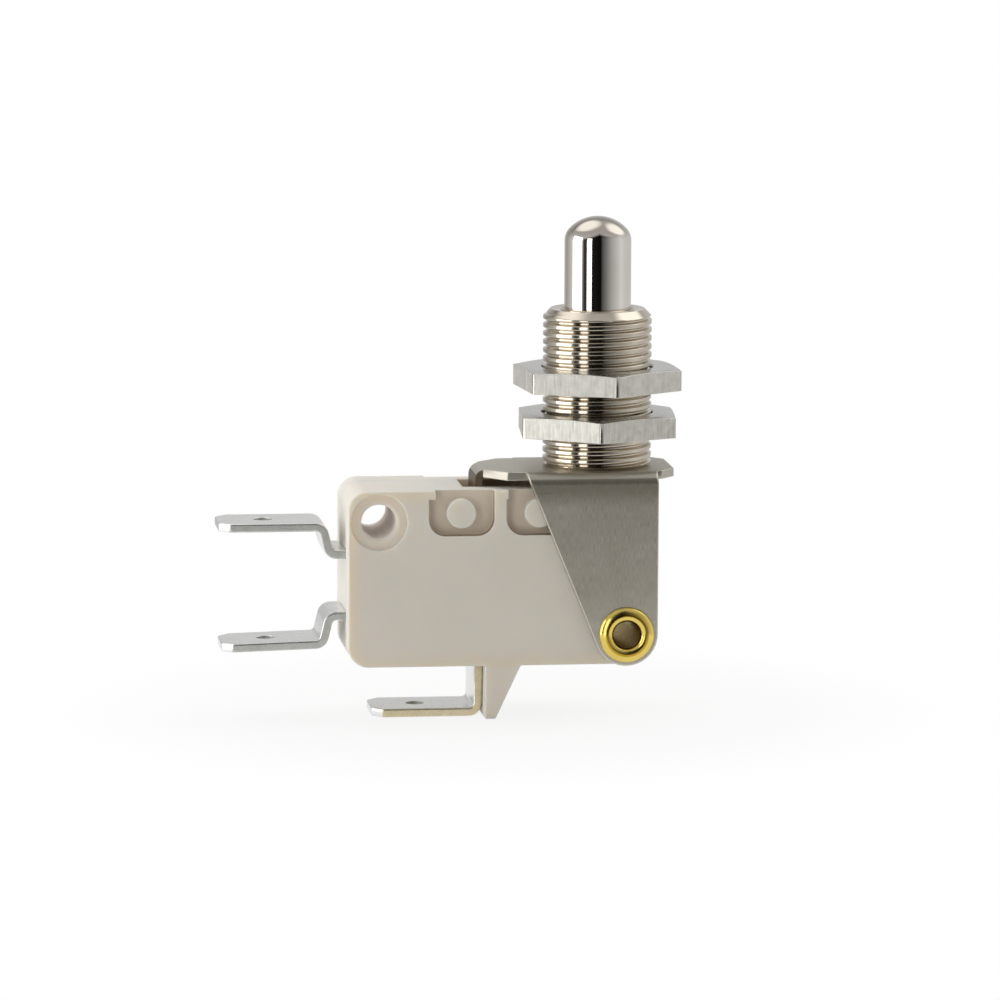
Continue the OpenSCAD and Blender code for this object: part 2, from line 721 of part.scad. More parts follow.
// Washer that closes the bushing and carries the return spring
module spring_seat() {
    button_room = 0.3;
    color(steel) translate([0, 0, body_top]) difference() {
        cylinder(d = spring_bore_d - 2 * seat_fit, h = seat_t);
        translate([0, 0, -over]) cylinder(d = button_d + 2 * button_room, h = seat_t + 2 * over);
    }
}

// Thin hex nut with its top corners turned off and its bore countersunk
module nut(z, turn) {
    corner_r = nut_af / sqrt(3);
    face_share = 0.97;
    flat_r = face_share * nut_af / 2;
    bore_r = thread_d / 2 + nut_fit;
    sink = 0.3;
    color(nickel) translate([0, 0, z]) difference() {
        intersection() {
            rotate(turn) cylinder(r = corner_r, h = nut_t, $fn = 6);
            rotate_extrude() polygon([[0, 0], [corner_r, 0], [corner_r, nut_t - nut_chamfer], [flat_r, nut_t],
                                      [0, nut_t]]);
        }
        translate([0, 0, -over]) cylinder(r = bore_r, h = nut_t + 2 * over);
        for (side = [0, 1]) translate([0, 0, nut_t / 2]) mirror([0, 0, side]) translate([0, 0, nut_t / 2 - sink])
            cylinder(r1 = bore_r, r2 = bore_r + sink, h = sink);
    }
}

module upper_nut() nut(panel_gap, upper_nut_turn);

module lower_nut() nut(-nut_t, lower_nut_turn);

// Domed pin with a flange that stops it under the guide, bored from below for the push pin
module plunger() {
    r = plunger_d / 2;
    edge_x = r - dome_edge_r;
    dome_z = plunger_top - dome_h;
    cap_r = (pow(dome_h, 2) + pow(edge_x, 2) - pow(dome_edge_r, 2)) / (2 * (dome_h - dome_edge_r));
    cap_z = plunger_top - cap_r;
    // Direction from the cap's centre through the edge's centre, where the two arcs meet
    meet = far * unit([edge_x, dome_z - cap_z]);
    color(steel) rotate_extrude() difference() {
        intersection() {
            union() {
                translate([0, plunger_low]) square([flange_d / 2, flange_t]);
                translate([0, plunger_low]) square([r, dome_z - plunger_low]);
                translate([edge_x, dome_z]) circle(dome_edge_r);
                intersection() {
                    translate([0, cap_z]) circle(cap_r);
                    polygon([[0, cap_z], [meet.x, cap_z + meet.y], [0, cap_z + far]]);
                }
            }
            translate([0, plunger_low]) square([far, far]);
        }
        translate([0, plunger_low - over]) square([plunger_bore_d / 2, plunger_bore_top - plunger_low + over]);
    }
}

// Ring pressed into the plunger's bore, under the push pin's head
module pin_retainer() {
    color(brass) translate([0, 0, plunger_low]) difference() {
        cylinder(d = plunger_bore_d - 2 * seat_fit, h = retainer_t);
        translate([0, 0, -over]) cylinder(d = pin_d + 4 * slide_fit, h = retainer_t + 2 * over);
    }
}

// Headed pin that the overtravel spring holds down, just clear of the button
module push_pin() {
    low = button_top + seat_fit;
    nose = 0.4;
    color(steel) {
        translate([0, 0, head_low + seat_fit]) cylinder(d = pin_head_d, h = pin_head_t);
        translate([0, 0, low + nose]) cylinder(d = pin_d, h = head_low + seat_fit + join - low - nose);
        translate([0, 0, low]) cylinder(d1 = pin_d - 2 * nose, d2 = pin_d, h = nose);
    }
}

module overtravel_spring() {
    low = head_low + seat_fit + pin_head_t;
    color(steel) wire(spring_line(plunger_bore_d - over_wire - 2 * coil_gap, over_wire, low + seat_fit,
                                  plunger_bore_top - seat_fit, over_turns), over_wire);
}

module return_spring() {
    color(steel) wire(spring_line(spring_bore_d - return_wire - 2 * coil_gap, return_wire, seat_top + seat_fit,
                                  plunger_low - seat_fit, return_turns), return_wire);
}

housing();
cover();
common_terminal();
nc_terminal();
no_terminal();
nc_contact();
no_contact();
contact_blade();
moving_contact();
snap_spring();
button();
bracket();
eyelet();
bushing();
spring_seat();
upper_nut();
lower_nut();
plunger();
pin_retainer();
push_pin();
overtravel_spring();
return_spring();
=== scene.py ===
"""Looks of a panel-mount micro switch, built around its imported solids."""

import math

import bmesh
import bpy
from mathutils import Matrix, Vector


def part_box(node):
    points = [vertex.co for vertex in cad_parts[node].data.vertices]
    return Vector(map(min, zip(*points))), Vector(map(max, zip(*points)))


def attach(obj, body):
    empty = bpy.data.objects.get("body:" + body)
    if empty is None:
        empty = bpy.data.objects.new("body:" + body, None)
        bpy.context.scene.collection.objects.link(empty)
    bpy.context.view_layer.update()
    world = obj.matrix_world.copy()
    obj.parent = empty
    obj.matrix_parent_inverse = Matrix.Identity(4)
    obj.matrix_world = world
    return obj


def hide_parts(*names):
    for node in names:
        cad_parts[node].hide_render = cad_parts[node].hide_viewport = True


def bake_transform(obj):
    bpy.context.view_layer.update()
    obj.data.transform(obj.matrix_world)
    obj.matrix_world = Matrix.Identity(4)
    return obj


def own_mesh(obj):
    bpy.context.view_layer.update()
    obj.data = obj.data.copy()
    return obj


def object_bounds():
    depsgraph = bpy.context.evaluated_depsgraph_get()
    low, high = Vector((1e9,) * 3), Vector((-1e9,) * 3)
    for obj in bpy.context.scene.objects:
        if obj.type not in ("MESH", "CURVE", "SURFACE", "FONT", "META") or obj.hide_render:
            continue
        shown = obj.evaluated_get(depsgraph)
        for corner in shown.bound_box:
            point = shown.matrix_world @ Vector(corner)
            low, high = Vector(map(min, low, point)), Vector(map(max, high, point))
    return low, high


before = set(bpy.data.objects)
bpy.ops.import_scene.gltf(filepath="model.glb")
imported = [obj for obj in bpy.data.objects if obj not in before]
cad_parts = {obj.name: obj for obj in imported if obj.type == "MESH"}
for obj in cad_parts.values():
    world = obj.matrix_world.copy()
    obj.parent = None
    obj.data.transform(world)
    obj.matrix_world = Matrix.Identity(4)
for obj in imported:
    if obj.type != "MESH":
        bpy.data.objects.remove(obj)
cad_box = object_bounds()
MM = 0.001


# Camera
# A long lens stands a little to the left of the front and a little above the switch.
# Its turn, drop and roll are fitted to the body's corners, its holes and the bushing.
def placed(name, data):
    """A new object of the scene that holds a mesh, a lamp or a camera."""
    thing = bpy.data.objects.new(name, data)
    bpy.context.scene.collection.objects.link(thing)
    return thing


lens_mm = 239.88
sensor_mm = 36
view_turn = 0.12105
view_drop = 0.14258
view_roll = 0.00439
aim = Vector((-8.748, 0.0, -8.02)) * MM
stand_off = 600 * MM
ahead = Vector((math.sin(view_turn) * math.cos(view_drop),
                math.cos(view_turn) * math.cos(view_drop),
                -math.sin(view_drop)))
level = Vector((math.cos(view_turn), -math.sin(view_turn), 0.0))
right = math.cos(view_roll) * level + math.sin(view_roll) * level.cross(ahead)
upright = right.cross(ahead)
camera_data = bpy.data.cameras.new("camera")
camera_data.lens = lens_mm
camera_data.sensor_width = sensor_mm
camera_data.clip_start = 10 * MM
camera_data.clip_end = 10
camera = placed("camera", camera_data)
camera_axes = Matrix((right, upright, -ahead)).transposed().to_4x4()
camera.matrix_world = Matrix.Translation(aim - stand_off * ahead) @ camera_axes
bpy.context.scene.camera = camera
bpy.context.scene.view_settings.view_transform = "Standard"

# Blade terminals
# Three tabs are blanked from tinned brass strip and bent to shape, with a hole near each tip.
# The upper and lower ones leave the left end, and the common one comes down through the floor.
# Sizes here and below are in millimetres, and near is how close two places count as the same.
near = 0.02
weld = 0.002
smooth_deg = 32


def whole_faces(node, flat_deg=0.6):
    """A solid's mesh with its loose triangles joined into whole flat faces."""
    shape = bmesh.new()
    shape.from_mesh(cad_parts[node].data)
    bmesh.ops.remove_doubles(shape, verts=shape.verts, dist=weld * MM)
    bmesh.ops.dissolve_limit(shape, angle_limit=math.radians(flat_deg), verts=shape.verts, edges=shape.edges)
    return shape


def split_faces(shape, axis, least_area, planes):
    """Cuts a shape's large flat faces that look along an axis, so that none of them runs round a hole.

    Each plane is a spot in millimetres and a normal. Other links across flat faces are dissolved.
    """
    along_axis = 0.95
    flat = 0.01
    on_plane = 0.01
    for spot, normal in planes:
        faces = [f for f in shape.faces
                 if abs(f.normal[axis]) > along_axis and f.calc_area() > least_area * MM * MM]
        edges = list({e for f in faces for e in f.edges})
        verts = list({v for f in faces for v in f.verts})
        bmesh.ops.bisect_plane(shape, geom=faces + edges + verts, dist=0.001 * MM,
                               plane_co=Vector(spot) * MM, plane_no=normal)
    old_links = []
    for edge in shape.edges:
        if not edge.is_manifold or edge.calc_face_angle() > flat:
            continue
        made_now = any(all(abs((v.co / MM - Vector(spot)).dot(Vector(normal))) < on_plane for v in edge.verts)
                       for spot, normal in planes)
        if abs(edge.link_faces[0].normal[axis]) >= along_axis and not made_now:
            old_links.append(edge)
    bmesh.ops.dissolve_edges(shape, edges=old_links, use_verts=False)


def settled(piece, keep_shading=False):
    """The piece with its modifiers made part of its mesh, shaded smooth between sharp edges."""
    view = bpy.context.evaluated_depsgraph_get()
    mesh = bpy.data.meshes.new_from_object(piece.evaluated_get(view))
    piece.modifiers.clear()
    piece.data = mesh
    mesh.name = piece.name
    if not keep_shading:
        mesh.shade_smooth()
        mesh.set_sharp_from_angle(angle=math.radians(smooth_deg))
    return piece


def softened(name, shape, edge_radius, steps=3, sharp_deg=25):
    """A piece whose sharp edges are rounded; edge_radius gives the millimetres for each edge."""
    weight = shape.edges.layers.float.new("bevel_weight_edge")
    sharp = [e for e in shape.edges if e.is_manifold and e.calc_face_angle() > math.radians(sharp_deg)]
    radii = {e: edge_radius(e) for e in sharp}
    widest = max(radii.values())
    for edge, radius in radii.items():
        edge[weight] = radius / widest
    mesh = bpy.data.meshes.new(name)
    shape.to_mesh(mesh)
    shape.free()
    piece = placed(name, mesh)
    rounding = piece.modifiers.new("rounding", "BEVEL")
    rounding.limit_method = "WEIGHT"
    rounding.width = widest * MM
    rounding.segments = steps
    rounding.use_clamp_overlap = False
    rounding.loop_slide = False
    settled(piece)
    flat_faces = piece.modifiers.new("flat_faces", "WEIGHTED_NORMAL")
    flat_faces.keep_sharp = True
    return settled(piece, keep_shading=True)


def middle_of(edge):
    """The middle of an edge in millimetres."""
    return (edge.verts[0].co + edge.verts[1].co) / 2 / MM


def added(tree, kind, inputs):
    """A new node of a tree; each input, by name or place, is a value or another node's output."""
    node = tree.nodes.new(kind)
    for name, value in inputs.items():
        if isinstance(value, bpy.types.NodeSocket):
            tree.links.new(value, node.inputs[name])
        else:
            node.inputs[name].default_value = value
    return node


def worked(tree, operation, first, second=0.0):
    """Output of a math node."""
    node = added(tree, "ShaderNodeMath", {0: first, 1: second})
    node.operation = operation
    return node.outputs["Value"]


def ranged(tree, value, low, high, to_low=0.0, to_high=1.0, soft=False):
    """Output of a node that maps a value from one range to another."""
    node = added(tree, "ShaderNodeMapRange", {
        "Value": value, "From Min": low, "From Max": high, "To Min": to_low, "To Max": to_high})
    node.interpolation_type = "SMOOTHSTEP" if soft else "LINEAR"
    return node.outputs["Result"]


def mixed(tree, share, first, second):
    """Output of a node that mixes two colours by a share."""
    node = tree.nodes.new("ShaderNodeMix")
    node.data_type = "RGBA"
    tree.links.new(share, node.inputs["Factor"])
    for socket, colour in ((node.inputs["A"], first), (node.inputs["B"], second)):
        if isinstance(colour, tuple):
            socket.default_value = (*colour, 1)
        else:
            tree.links.new(colour, socket)
    return node.outputs["Result"]


def surface(name, light, dark, rough, cloud_mm, grain_mm, bump_mm, fleck=0.2, metal=1):
    """A material whose colour drifts in clouds and flecks, with roughness and height from a finer grain."""
    noise_low = 0.3
    noise_high = 0.7
    material = bpy.data.materials.new(name)
    material.use_nodes = True
    tree = material.node_tree
    shader = tree.nodes["Principled BSDF"]
    shader.inputs["Metallic"].default_value = metal
    place = tree.nodes.new("ShaderNodeTexCoord").outputs["Object"]
    cloud = added(tree, "ShaderNodeTexNoise", {"Vector": place, "Scale": 1 / (cloud_mm * MM), "Detail": 3})
    stretch = added(tree, "ShaderNodeMapping", {
        "Vector": place, "Scale": [1 / (size * MM) for size in grain_mm]})
    grain = added(tree, "ShaderNodeTexNoise", {"Vector": stretch.outputs["Vector"], "Scale": 1, "Detail": 4})
    drift = worked(tree, "MULTIPLY", ranged(tree, cloud.outputs["Fac"], noise_low, noise_high), 1 - fleck)
    flecks = worked(tree, "MULTIPLY", ranged(tree, grain.outputs["Fac"], noise_low, noise_high), fleck)
    colour = mixed(tree, worked(tree, "ADD", drift, flecks), dark, light)
    tree.links.new(colour, shader.inputs["Base Color"])
    roughness = ranged(tree, grain.outputs["Fac"], noise_low, noise_high, *rough)
    tree.links.new(roughness, shader.inputs["Roughness"])
    bump = added(tree, "ShaderNodeBump", {"Height": grain.outputs["Fac"], "Distance": bump_mm * MM})
    tree.links.new(bump.outputs["Normal"], shader.inputs["Normal"])
    return material


def coated(piece, *finishes):
    """Gives a piece its finishes, the first of them all over."""
    piece.data.materials.clear()
    for finish in finishes:
        piece.data.materials.append(finish)


tin = surface("tin", light=(0.87, 0.87, 0.855), dark=(0.79, 0.79, 0.775), rough=(0.24, 0.36),
              cloud_mm=2.5, grain_mm=(0.9, 0.05, 0.3), bump_mm=0.004)
sheared = {"cloud_mm": 0.8, "grain_mm": (0.12, 0.4, 0.12), "bump_mm": 0.012, "fleck": 0.6}
cut_tin = surface("cut_tin", light=(0.60, 0.60, 0.57), dark=(0.40, 0.40, 0.37), rough=(0.26, 0.42), **sheared)
# A lighter copy of the cut tin for the normally closed terminal's cut edges: a painted highlight.
lit_cut = surface("lit_cut_tin", light=(0.70, 0.70, 0.67), dark=(0.48, 0.48, 0.45), rough=(0.28, 0.46),
                     **sheared)
cut_brass = surface("cut_brass", light=(0.75, 0.67, 0.47), dark=(0.54, 0.455, 0.285), rough=(0.26, 0.42),
                    **sheared)
# Painted shade: a dark tin for the walls of the tabs' holes.
pierced = surface("hole_shade_tin", light=(0.52, 0.52, 0.50), dark=(0.38, 0.38, 0.36), rough=(0.45, 0.6),
                  cloud_mm=0.5, grain_mm=(0.2, 0.2, 0.05), bump_mm=0.01)

# Roundings, the lean of the blanked edges, and where the holes and the inner posts are.
tab_edge = 0.17
tab_lean = 0.06
hole_edge = 0.07
hole_back = 4.15
hole_zone = 0.9
posts_from_x = -12
posts_from_z = -21.6


def terminal_edge(edge):
    """The blanked edges are well rounded by tumbling, the rims of the holes only a little; the common
    terminal's posts inside the body stay sharp."""
    if all(vert.co.x > posts_from_x * MM and vert.co.z > posts_from_z * MM for vert in edge.verts):
        return 0
    at_hole = all(abs(vert.co.y) < hole_zone * MM for vert in edge.verts)
    return hole_edge if at_hole else tab_edge


# The normally closed terminal's cut edges take the painted highlight.
for node, cut in (("nc_terminal", lit_cut), ("no_terminal", cut_tin), ("common_terminal", cut_brass)):
    shape = whole_faces(node)
    hole_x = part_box(node)[0].x / MM + hole_back
    split_faces(shape, axis=2, least_area=5, planes=[((hole_x, 0, 0), (1, 0, 0)), ((0, 0, 0), (0, 1, 0))])
    shape.normal_update()
    half_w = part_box(node)[1].y
    for vert in shape.verts:
        if abs(abs(vert.co.y) - half_w) < near * MM and vert.normal.z < -0.2:
            vert.co.y -= math.copysign(tab_lean * MM, vert.co.y)
    terminal = softened(node + "_tab", shape, terminal_edge, steps=4)
    coated(terminal, tin, cut, pierced)
    for face in terminal.data.polygons:
        off_hole = math.hypot(face.center.x - hole_x * MM, face.center.y)
        # The walls of the hole take the painted shade.
        if off_hole < hole_zone * MM and abs(face.normal.z) < 0.5:
            face.material_index = 2
        elif abs(face.normal.y) > 0.75:
            face.material_index = 1
    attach(terminal, "switch")
    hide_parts(node)


# Contacts
# The fixed contacts are silver rivets clenched in the terminals, and the moving one is a rivet
# with a face on each side of the blade.
def turned(name, outline, steps=64, closed=True):
    """A turned piece round the Z axis, from an outline of (radius, height) in millimetres."""
    shape = bmesh.new()
    turns = [2 * math.pi * i / steps for i in range(steps)]
    rings = []
    for radius, height in outline:
        if radius < 1e-6:
            rings.append([shape.verts.new((0, 0, height * MM))] * steps)
        else:
            rings.append([shape.verts.new((radius * MM * math.cos(a), radius * MM * math.sin(a), height * MM))
                          for a in turns])
    following = rings[1:] + rings[:1] if closed else rings[1:]
    for low, high in zip(rings, following):
        for i in range(steps):
            j = (i + 1) % steps
            corners = []
            for vert in (low[i], low[j], high[j], high[i]):
                if vert not in corners:
                    corners.append(vert)
            if len(corners) > 2:
                shape.faces.new(corners)
    bmesh.ops.recalc_face_normals(shape, faces=shape.faces)
    mesh = bpy.data.meshes.new(name)
    shape.to_mesh(mesh)
    shape.free()
    mesh.shade_smooth()
    mesh.set_sharp_from_angle(angle=math.radians(smooth_deg))
    return placed(name, mesh)


def eased(corners):
    """Outline points with its corners rounded; each corner is (radius, height, easing)."""
    points = []
    count = len(corners)
    for i, (x, z, ease) in enumerate(corners):
        here = Vector((x, z))
        if not ease:
            points.append((x, z))
            continue
        before = Vector(corners[i - 1][:2]) - here
        after = Vector(corners[(i + 1) % count][:2]) - here
        start = here + before.normalized() * ease
        end = here + after.normalized() * ease
        for t in (0, 0.25, 0.5, 0.75, 1):
            point = (1 - t) ** 2 * start + 2 * t * (1 - t) * here + t ** 2 * end
            points.append((point.x, point.y))
    return points


silver = surface("silver", light=(0.88, 0.87, 0.85), dark=(0.78, 0.77, 0.74), rough=(0.25, 0.4),
                 cloud_mm=1.5, grain_mm=(0.1, 0.1, 0.1), bump_mm=0.004)
contact_x = -16.5
contact_r = 1.5
contact_h = 1.0
shank_r = 0.8
clench_r = 1.15
clench_h = 0.3
blade_half = 0.175


def contact_rivet(name, *heads):
    """A silver rivet with two heads: radius, heights of the face and the back, easing of the rim."""
    ends = [[(0, face_z, 0), (radius, face_z, ease), (radius, back_z, 0.05), (shank_r, back_z, 0)]
            for radius, face_z, back_z, ease in heads]
    piece = turned(name, eased(ends[0] + ends[1][::-1]), closed=False)
    piece.data.transform(Matrix.Translation((contact_x * MM, 0, 0)))
    coated(piece, silver)
    return piece


for node, way in (("nc_contact", -1), ("no_contact", 1)):
    low_z, high_z = (corner.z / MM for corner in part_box(node))
    face_z, clench_z = (low_z, high_z) if way < 0 else (high_z, low_z)
    rivet = contact_rivet(node + "_rivet", (contact_r, face_z, face_z - way * contact_h, 0.25),
                          (clench_r, clench_z, clench_z + way * clench_h, 0.2))
    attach(rivet, "switch")
    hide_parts(node)
low_z, high_z = (corner.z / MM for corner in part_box("moving_contact"))
blade_z = (low_z + high_z) / 2
moving = contact_rivet("moving_contact_rivet", (contact_r, low_z, blade_z - blade_half, 0.2),
                       (contact_r, high_z, blade_z + blade_half, 0.2))
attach(moving, "contact_blade")
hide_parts("moving_contact")

# Contact blade
# A forked spring-alloy blade rocks on the common terminal's post; it is blanked, rolled at
# the ends of its arms, and pierced for the rivet and the snap spring.
blade_alloy = surface("blade_alloy", light=(0.76, 0.52, 0.30), dark=(0.66, 0.43, 0.23), rough=(0.22, 0.36),
                      cloud_mm=2, grain_mm=(1.2, 0.06, 0.2), bump_mm=0.004)
blade_edge = 0.03
blade = softened("rocking_blade", whole_faces("contact_blade"), lambda edge: blade_edge, steps=2)
coated(blade, blade_alloy)
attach(blade, "contact_blade")
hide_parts("contact_blade")

# Button
# The switch's own actuator is moulded in amber resin: a pin through the roof, a flange that
# stops it, and a pierced tongue for the snap spring.
resin = surface("button_resin", light=(0.56, 0.34, 0.13), dark=(0.48, 0.28, 0.10), rough=(0.35, 0.5),
                cloud_mm=3, grain_mm=(0.15, 0.15, 0.15), bump_mm=0.006, metal=0)
button_edge = 0.08
button = softened("actuator_button", whole_faces("button"), lambda edge: button_edge)
coated(button, resin)
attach(button, "button")
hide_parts("button")


# Snap spring
# A close-wound tension coil of drawn steel wire, hooked through the blade's root and through
# the button's tongue. It stretches between them as the button goes down.
def new_tree(name, inputs):
    """A node tree that takes and gives geometry, with more inputs given by name and kind."""
    tree = bpy.data.node_groups.new(name, "GeometryNodeTree")
    for label, kind in [("Geometry", "Geometry")] + inputs:
        tree.interface.new_socket(label, in_out="INPUT", socket_type="NodeSocket" + kind)
    tree.interface.new_socket("Geometry", in_out="OUTPUT", socket_type="NodeSocketGeometry")
    return tree


def chained(tree, *nodes):
    """Links the geometry of nodes, each one's to the next."""
    for first, second in zip(nodes, nodes[1:]):
        tree.links.new(first.outputs[0], second.inputs[0])


def wire_tree():
    """Node tree that draws round wire along a line of points."""
    tree = new_tree("wire_along_path", [("Wire diameter", "Float"), ("Material", "Material")])
    nodes = tree.nodes
    given = nodes.new("NodeGroupInput")
    path = nodes.new("GeometryNodeMeshToCurve")
    wire_r = worked(tree, "MULTIPLY", given.outputs["Wire diameter"], 0.5)
    section = added(tree, "GeometryNodeCurvePrimitiveCircle", {"Resolution": 12, "Radius": wire_r})
    skin = added(tree, "GeometryNodeCurveToMesh", {
        "Profile Curve": section.outputs["Curve"], "Fill Caps": True})
    smooth = nodes.new("GeometryNodeSetShadeSmooth")
    whole = nodes.new("GeometryNodeRealizeInstances")
    paint = added(tree, "GeometryNodeSetMaterial", {"Material": given.outputs["Material"]})
    chained(tree, given, path, skin, smooth, whole, paint, nodes.new("NodeGroupOutput"))
    return tree


def set_input(modifier, name, value):
    """Sets a node tree's named input by its socket's identifier."""
    sockets = [s for s in modifier.node_group.interface.items_tree if s.in_out == "INPUT" and s.name == name]
    modifier[sockets[0].identifier] = value


wire_nodes = wire_tree()
wire_steel = surface("wire_steel", light=(0.66, 0.66, 0.67), dark=(0.55, 0.55, 0.56), rough=(0.2, 0.32),
                     cloud_mm=1.5, grain_mm=(0.1, 0.1, 0.1), bump_mm=0.003)


def drawn_wire(name, points, wire_mm):
    """A piece of wire that follows points in millimetres."""
    mesh = bpy.data.meshes.new(name)
    mesh.from_pydata([Vector(p) * MM for p in points], [(i, i + 1) for i in range(len(points) - 1)], [])
    piece = placed(name, mesh)
    drawing = piece.modifiers.new("wire", "NODES")
    drawing.node_group = wire_nodes
    set_input(drawing, "Wire diameter", wire_mm * MM)
    set_input(drawing, "Material", wire_steel)
    return settled(piece)


snap_wire = 0.3
snap_d = 1.9
snap_turns = 14
snap_steps = 24
blade_hook = Vector((-13.4, 0, -14.695))
tongue_hook = Vector((-1.0, 0, -13.395))
blade_shank = 1.6
tongue_shank = 2.0
hook_lead = 0.5
hook_rise = Vector((0, 0, 0.535))
hook_reach = Vector((0, 0.86, 0))
depth_way = Vector((0, 1, 0))
pull = (tongue_hook - blade_hook).normalized()
across = pull.cross(depth_way)
lead = hook_lead * pull
coil_start = blade_hook + blade_shank * pull
coil_end = tongue_hook - tongue_shank * pull
snap_path = [blade_hook - hook_rise, blade_hook + hook_rise, blade_hook + hook_rise + lead, coil_start - lead]
for i in range(snap_steps * snap_turns + 1):
    angle = 2 * math.pi * i / snap_steps
    spoke = math.cos(angle) * depth_way + math.sin(angle) * across
    snap_path.append(coil_start.lerp(coil_end, i / (snap_steps * snap_turns)) - snap_d / 2 * spoke)
snap_path += [coil_end + lead, tongue_hook - hook_reach - lead]
snap_path += [tongue_hook - hook_reach, tongue_hook + hook_reach]
snap_spring = drawn_wire("snap_coil", snap_path, snap_wire)
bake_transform(snap_spring)
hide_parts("snap_spring")

# Body
# Two halves are moulded in cream thermoset and meet at a seam behind the middle. Each has a sunk
# ring round the mounting hole and two side recesses with round pips, and the front one the foot rib.
cream = surface("cream_moulding", light=(0.843, 0.795, 0.712), dark=(0.811, 0.762, 0.676), rough=(0.56, 0.68),
                cloud_mm=6, grain_mm=(0.12, 0.12, 0.12), bump_mm=0.006, metal=0)
inner_skin = {"rough": (0.5, 0.62), "cloud_mm": 3, "grain_mm": (0.10, 0.10, 0.10), "metal": 0}
# Painted shade: a darker, browner cream for the recess floors and for the trough under the bracket's plate.
recess_shade_cream = surface("recess_shade_cream", light=(0.85, 0.750, 0.610), dark=(0.79, 0.690, 0.555), bump_mm=0.010,
                       **inner_skin)
# Painted shade, darker still, for the recess walls; it draws a dark line along the recesses' edges.
wall_shade_cream = surface("recess_wall_shade_cream", light=(0.40, 0.31, 0.21), dark=(0.33, 0.25, 0.165), bump_mm=0.010,
                     **inner_skin)
# Painted light: a lighter, pinker cream for the mounting hole's bore, standing in for light through the
# moulding.
bore_lit_cream = surface("bore_lit_cream", light=(0.99, 0.93, 0.87), dark=(0.97, 0.90, 0.84), bump_mm=0.006,
                     **inner_skin)
for matt in (cream, bore_lit_cream):
    matt.node_tree.nodes["Principled BSDF"].inputs["Specular IOR Level"].default_value = 0.1
shader = cream.node_tree.nodes["Principled BSDF"]
shader.inputs["Subsurface Weight"].default_value = 0.7
shader.inputs["Subsurface Radius"].default_value = (1.0, 0.72, 0.5)
shader.inputs["Subsurface Scale"].default_value = 1.2 * MM

# Places and sizes on the body. A zone holds one kind of feature and nothing else like it.
body_low, body_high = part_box("housing")
body_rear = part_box("cover")[1].y / MM
body_front = body_low.y / MM
body_left = body_low.x / MM
body_right = body_high.x / MM
body_top = body_high.z / MM
seam_y = body_high.y / MM
body_h = 15.9
body_floor = body_top - body_h
cavity = ((-21.8, -3.41, -21.11), (3.61, 3.41, -8.59))
floor_left_r = 1.9
top_left_r = 1.7
floor_right_r = 2.8
top_right_r = 0.6
corners = ((body_left + floor_left_r, body_floor + floor_left_r, floor_left_r),
           (body_left + top_left_r, body_top - top_left_r, top_left_r),
           (body_right - floor_right_r, body_floor + floor_right_r, floor_right_r),
           (body_right - top_right_r, body_top - top_right_r, top_right_r))
mount_x = -20.2
mount_z = -9.2
mount_zone = 1.6
ring_r = 2.65
ring_shown_r = 2.56
ring_deep = 0.3
pip_xs = (-12.8, -5.8)
pip_z = body_top - 2.1
pip_zone = 1.4
recess_zone = (-16, -2.5)
recess_low = body_top - 4.3
recess_depth = 1.0
recess_floor_y = 4.1
tooth_x = -8.15
tooth_w = 0.6
tooth_h = 0.8
tooth_trim = 0.45
trough_x = (-14.2, 4)
trough_half = 4.2
trough_low = body_top - 1.2

# How far the edges are rounded.
outline_edge = 0.19
ring_edge = 0.05
detail_edge = 0.1
recess_edge = 0.05
seam_edge = 0.06
tooth_edge = 0.03


def coordinates(tree, kind="Object"):
    """X, Y and Z outputs of a texture coordinate."""
    place = tree.nodes.new("ShaderNodeTexCoord")
    return added(tree, "ShaderNodeSeparateXYZ", {"Vector": place.outputs[kind]}).outputs


def off_axis(tree, place, x, z):
    """Distance from a line along Y that passes through x and z in millimetres."""
    squares = []
    for letter, middle in (("X", x), ("Z", z)):
        aside = worked(tree, "SUBTRACT", place[letter], middle * MM)
        squares.append(worked(tree, "POWER", aside, 2))
    return worked(tree, "SQRT", worked(tree, "ADD", *squares))


def beyond(tree, value, low, high):
    """How far a coordinate lies outside a stretch given in millimetres, and below zero inside it."""
    aside = worked(tree, "SUBTRACT", value, (low + high) / 2 * MM)
    return worked(tree, "SUBTRACT", worked(tree, "ABSOLUTE", aside), (high - low) / 2 * MM)


def overlaid(material, share, colour):
    """Lays a colour over a material's own by a share."""
    tree = material.node_tree
    base = tree.nodes["Principled BSDF"].inputs["Base Color"]
    plain = base.links[0].from_socket
    tree.links.new(mixed(tree, share, plain, colour), base)


# The front and rear faces are tinted warmer and a little darker towards the outline and round the hole.
tree = cream.node_tree
place = coordinates(tree)
facing = tree.nodes.new("ShaderNodeNewGeometry")
turned_to = added(tree, "ShaderNodeSeparateXYZ", {"Vector": facing.outputs["Normal"]})
outside = worked(tree, "MAXIMUM", beyond(tree, place["X"], body_left, body_right),
                 beyond(tree, place["Z"], body_floor, body_top))
rim = ranged(tree, outside, -1.6 * MM, 0.0, soft=True)
from_hole = off_axis(tree, place, mount_x, mount_z)
round_hole = ranged(tree, from_hole, ring_r * MM, (ring_r - 0.5) * MM, 0.0, 0.8, soft=True)
frontal = worked(tree, "POWER", worked(tree, "ABSOLUTE", turned_to.outputs["Y"]), 2)
off_rib = ranged(tree, place["Z"], (body_floor - 0.3) * MM, body_floor * MM, 0.0, 0.65)
outline_tint = worked(tree, "MULTIPLY", worked(tree, "MAXIMUM", rim, round_hole),
                   worked(tree, "MULTIPLY", frontal, off_rib))
overlaid(cream, outline_tint, (0.845, 0.755, 0.605))


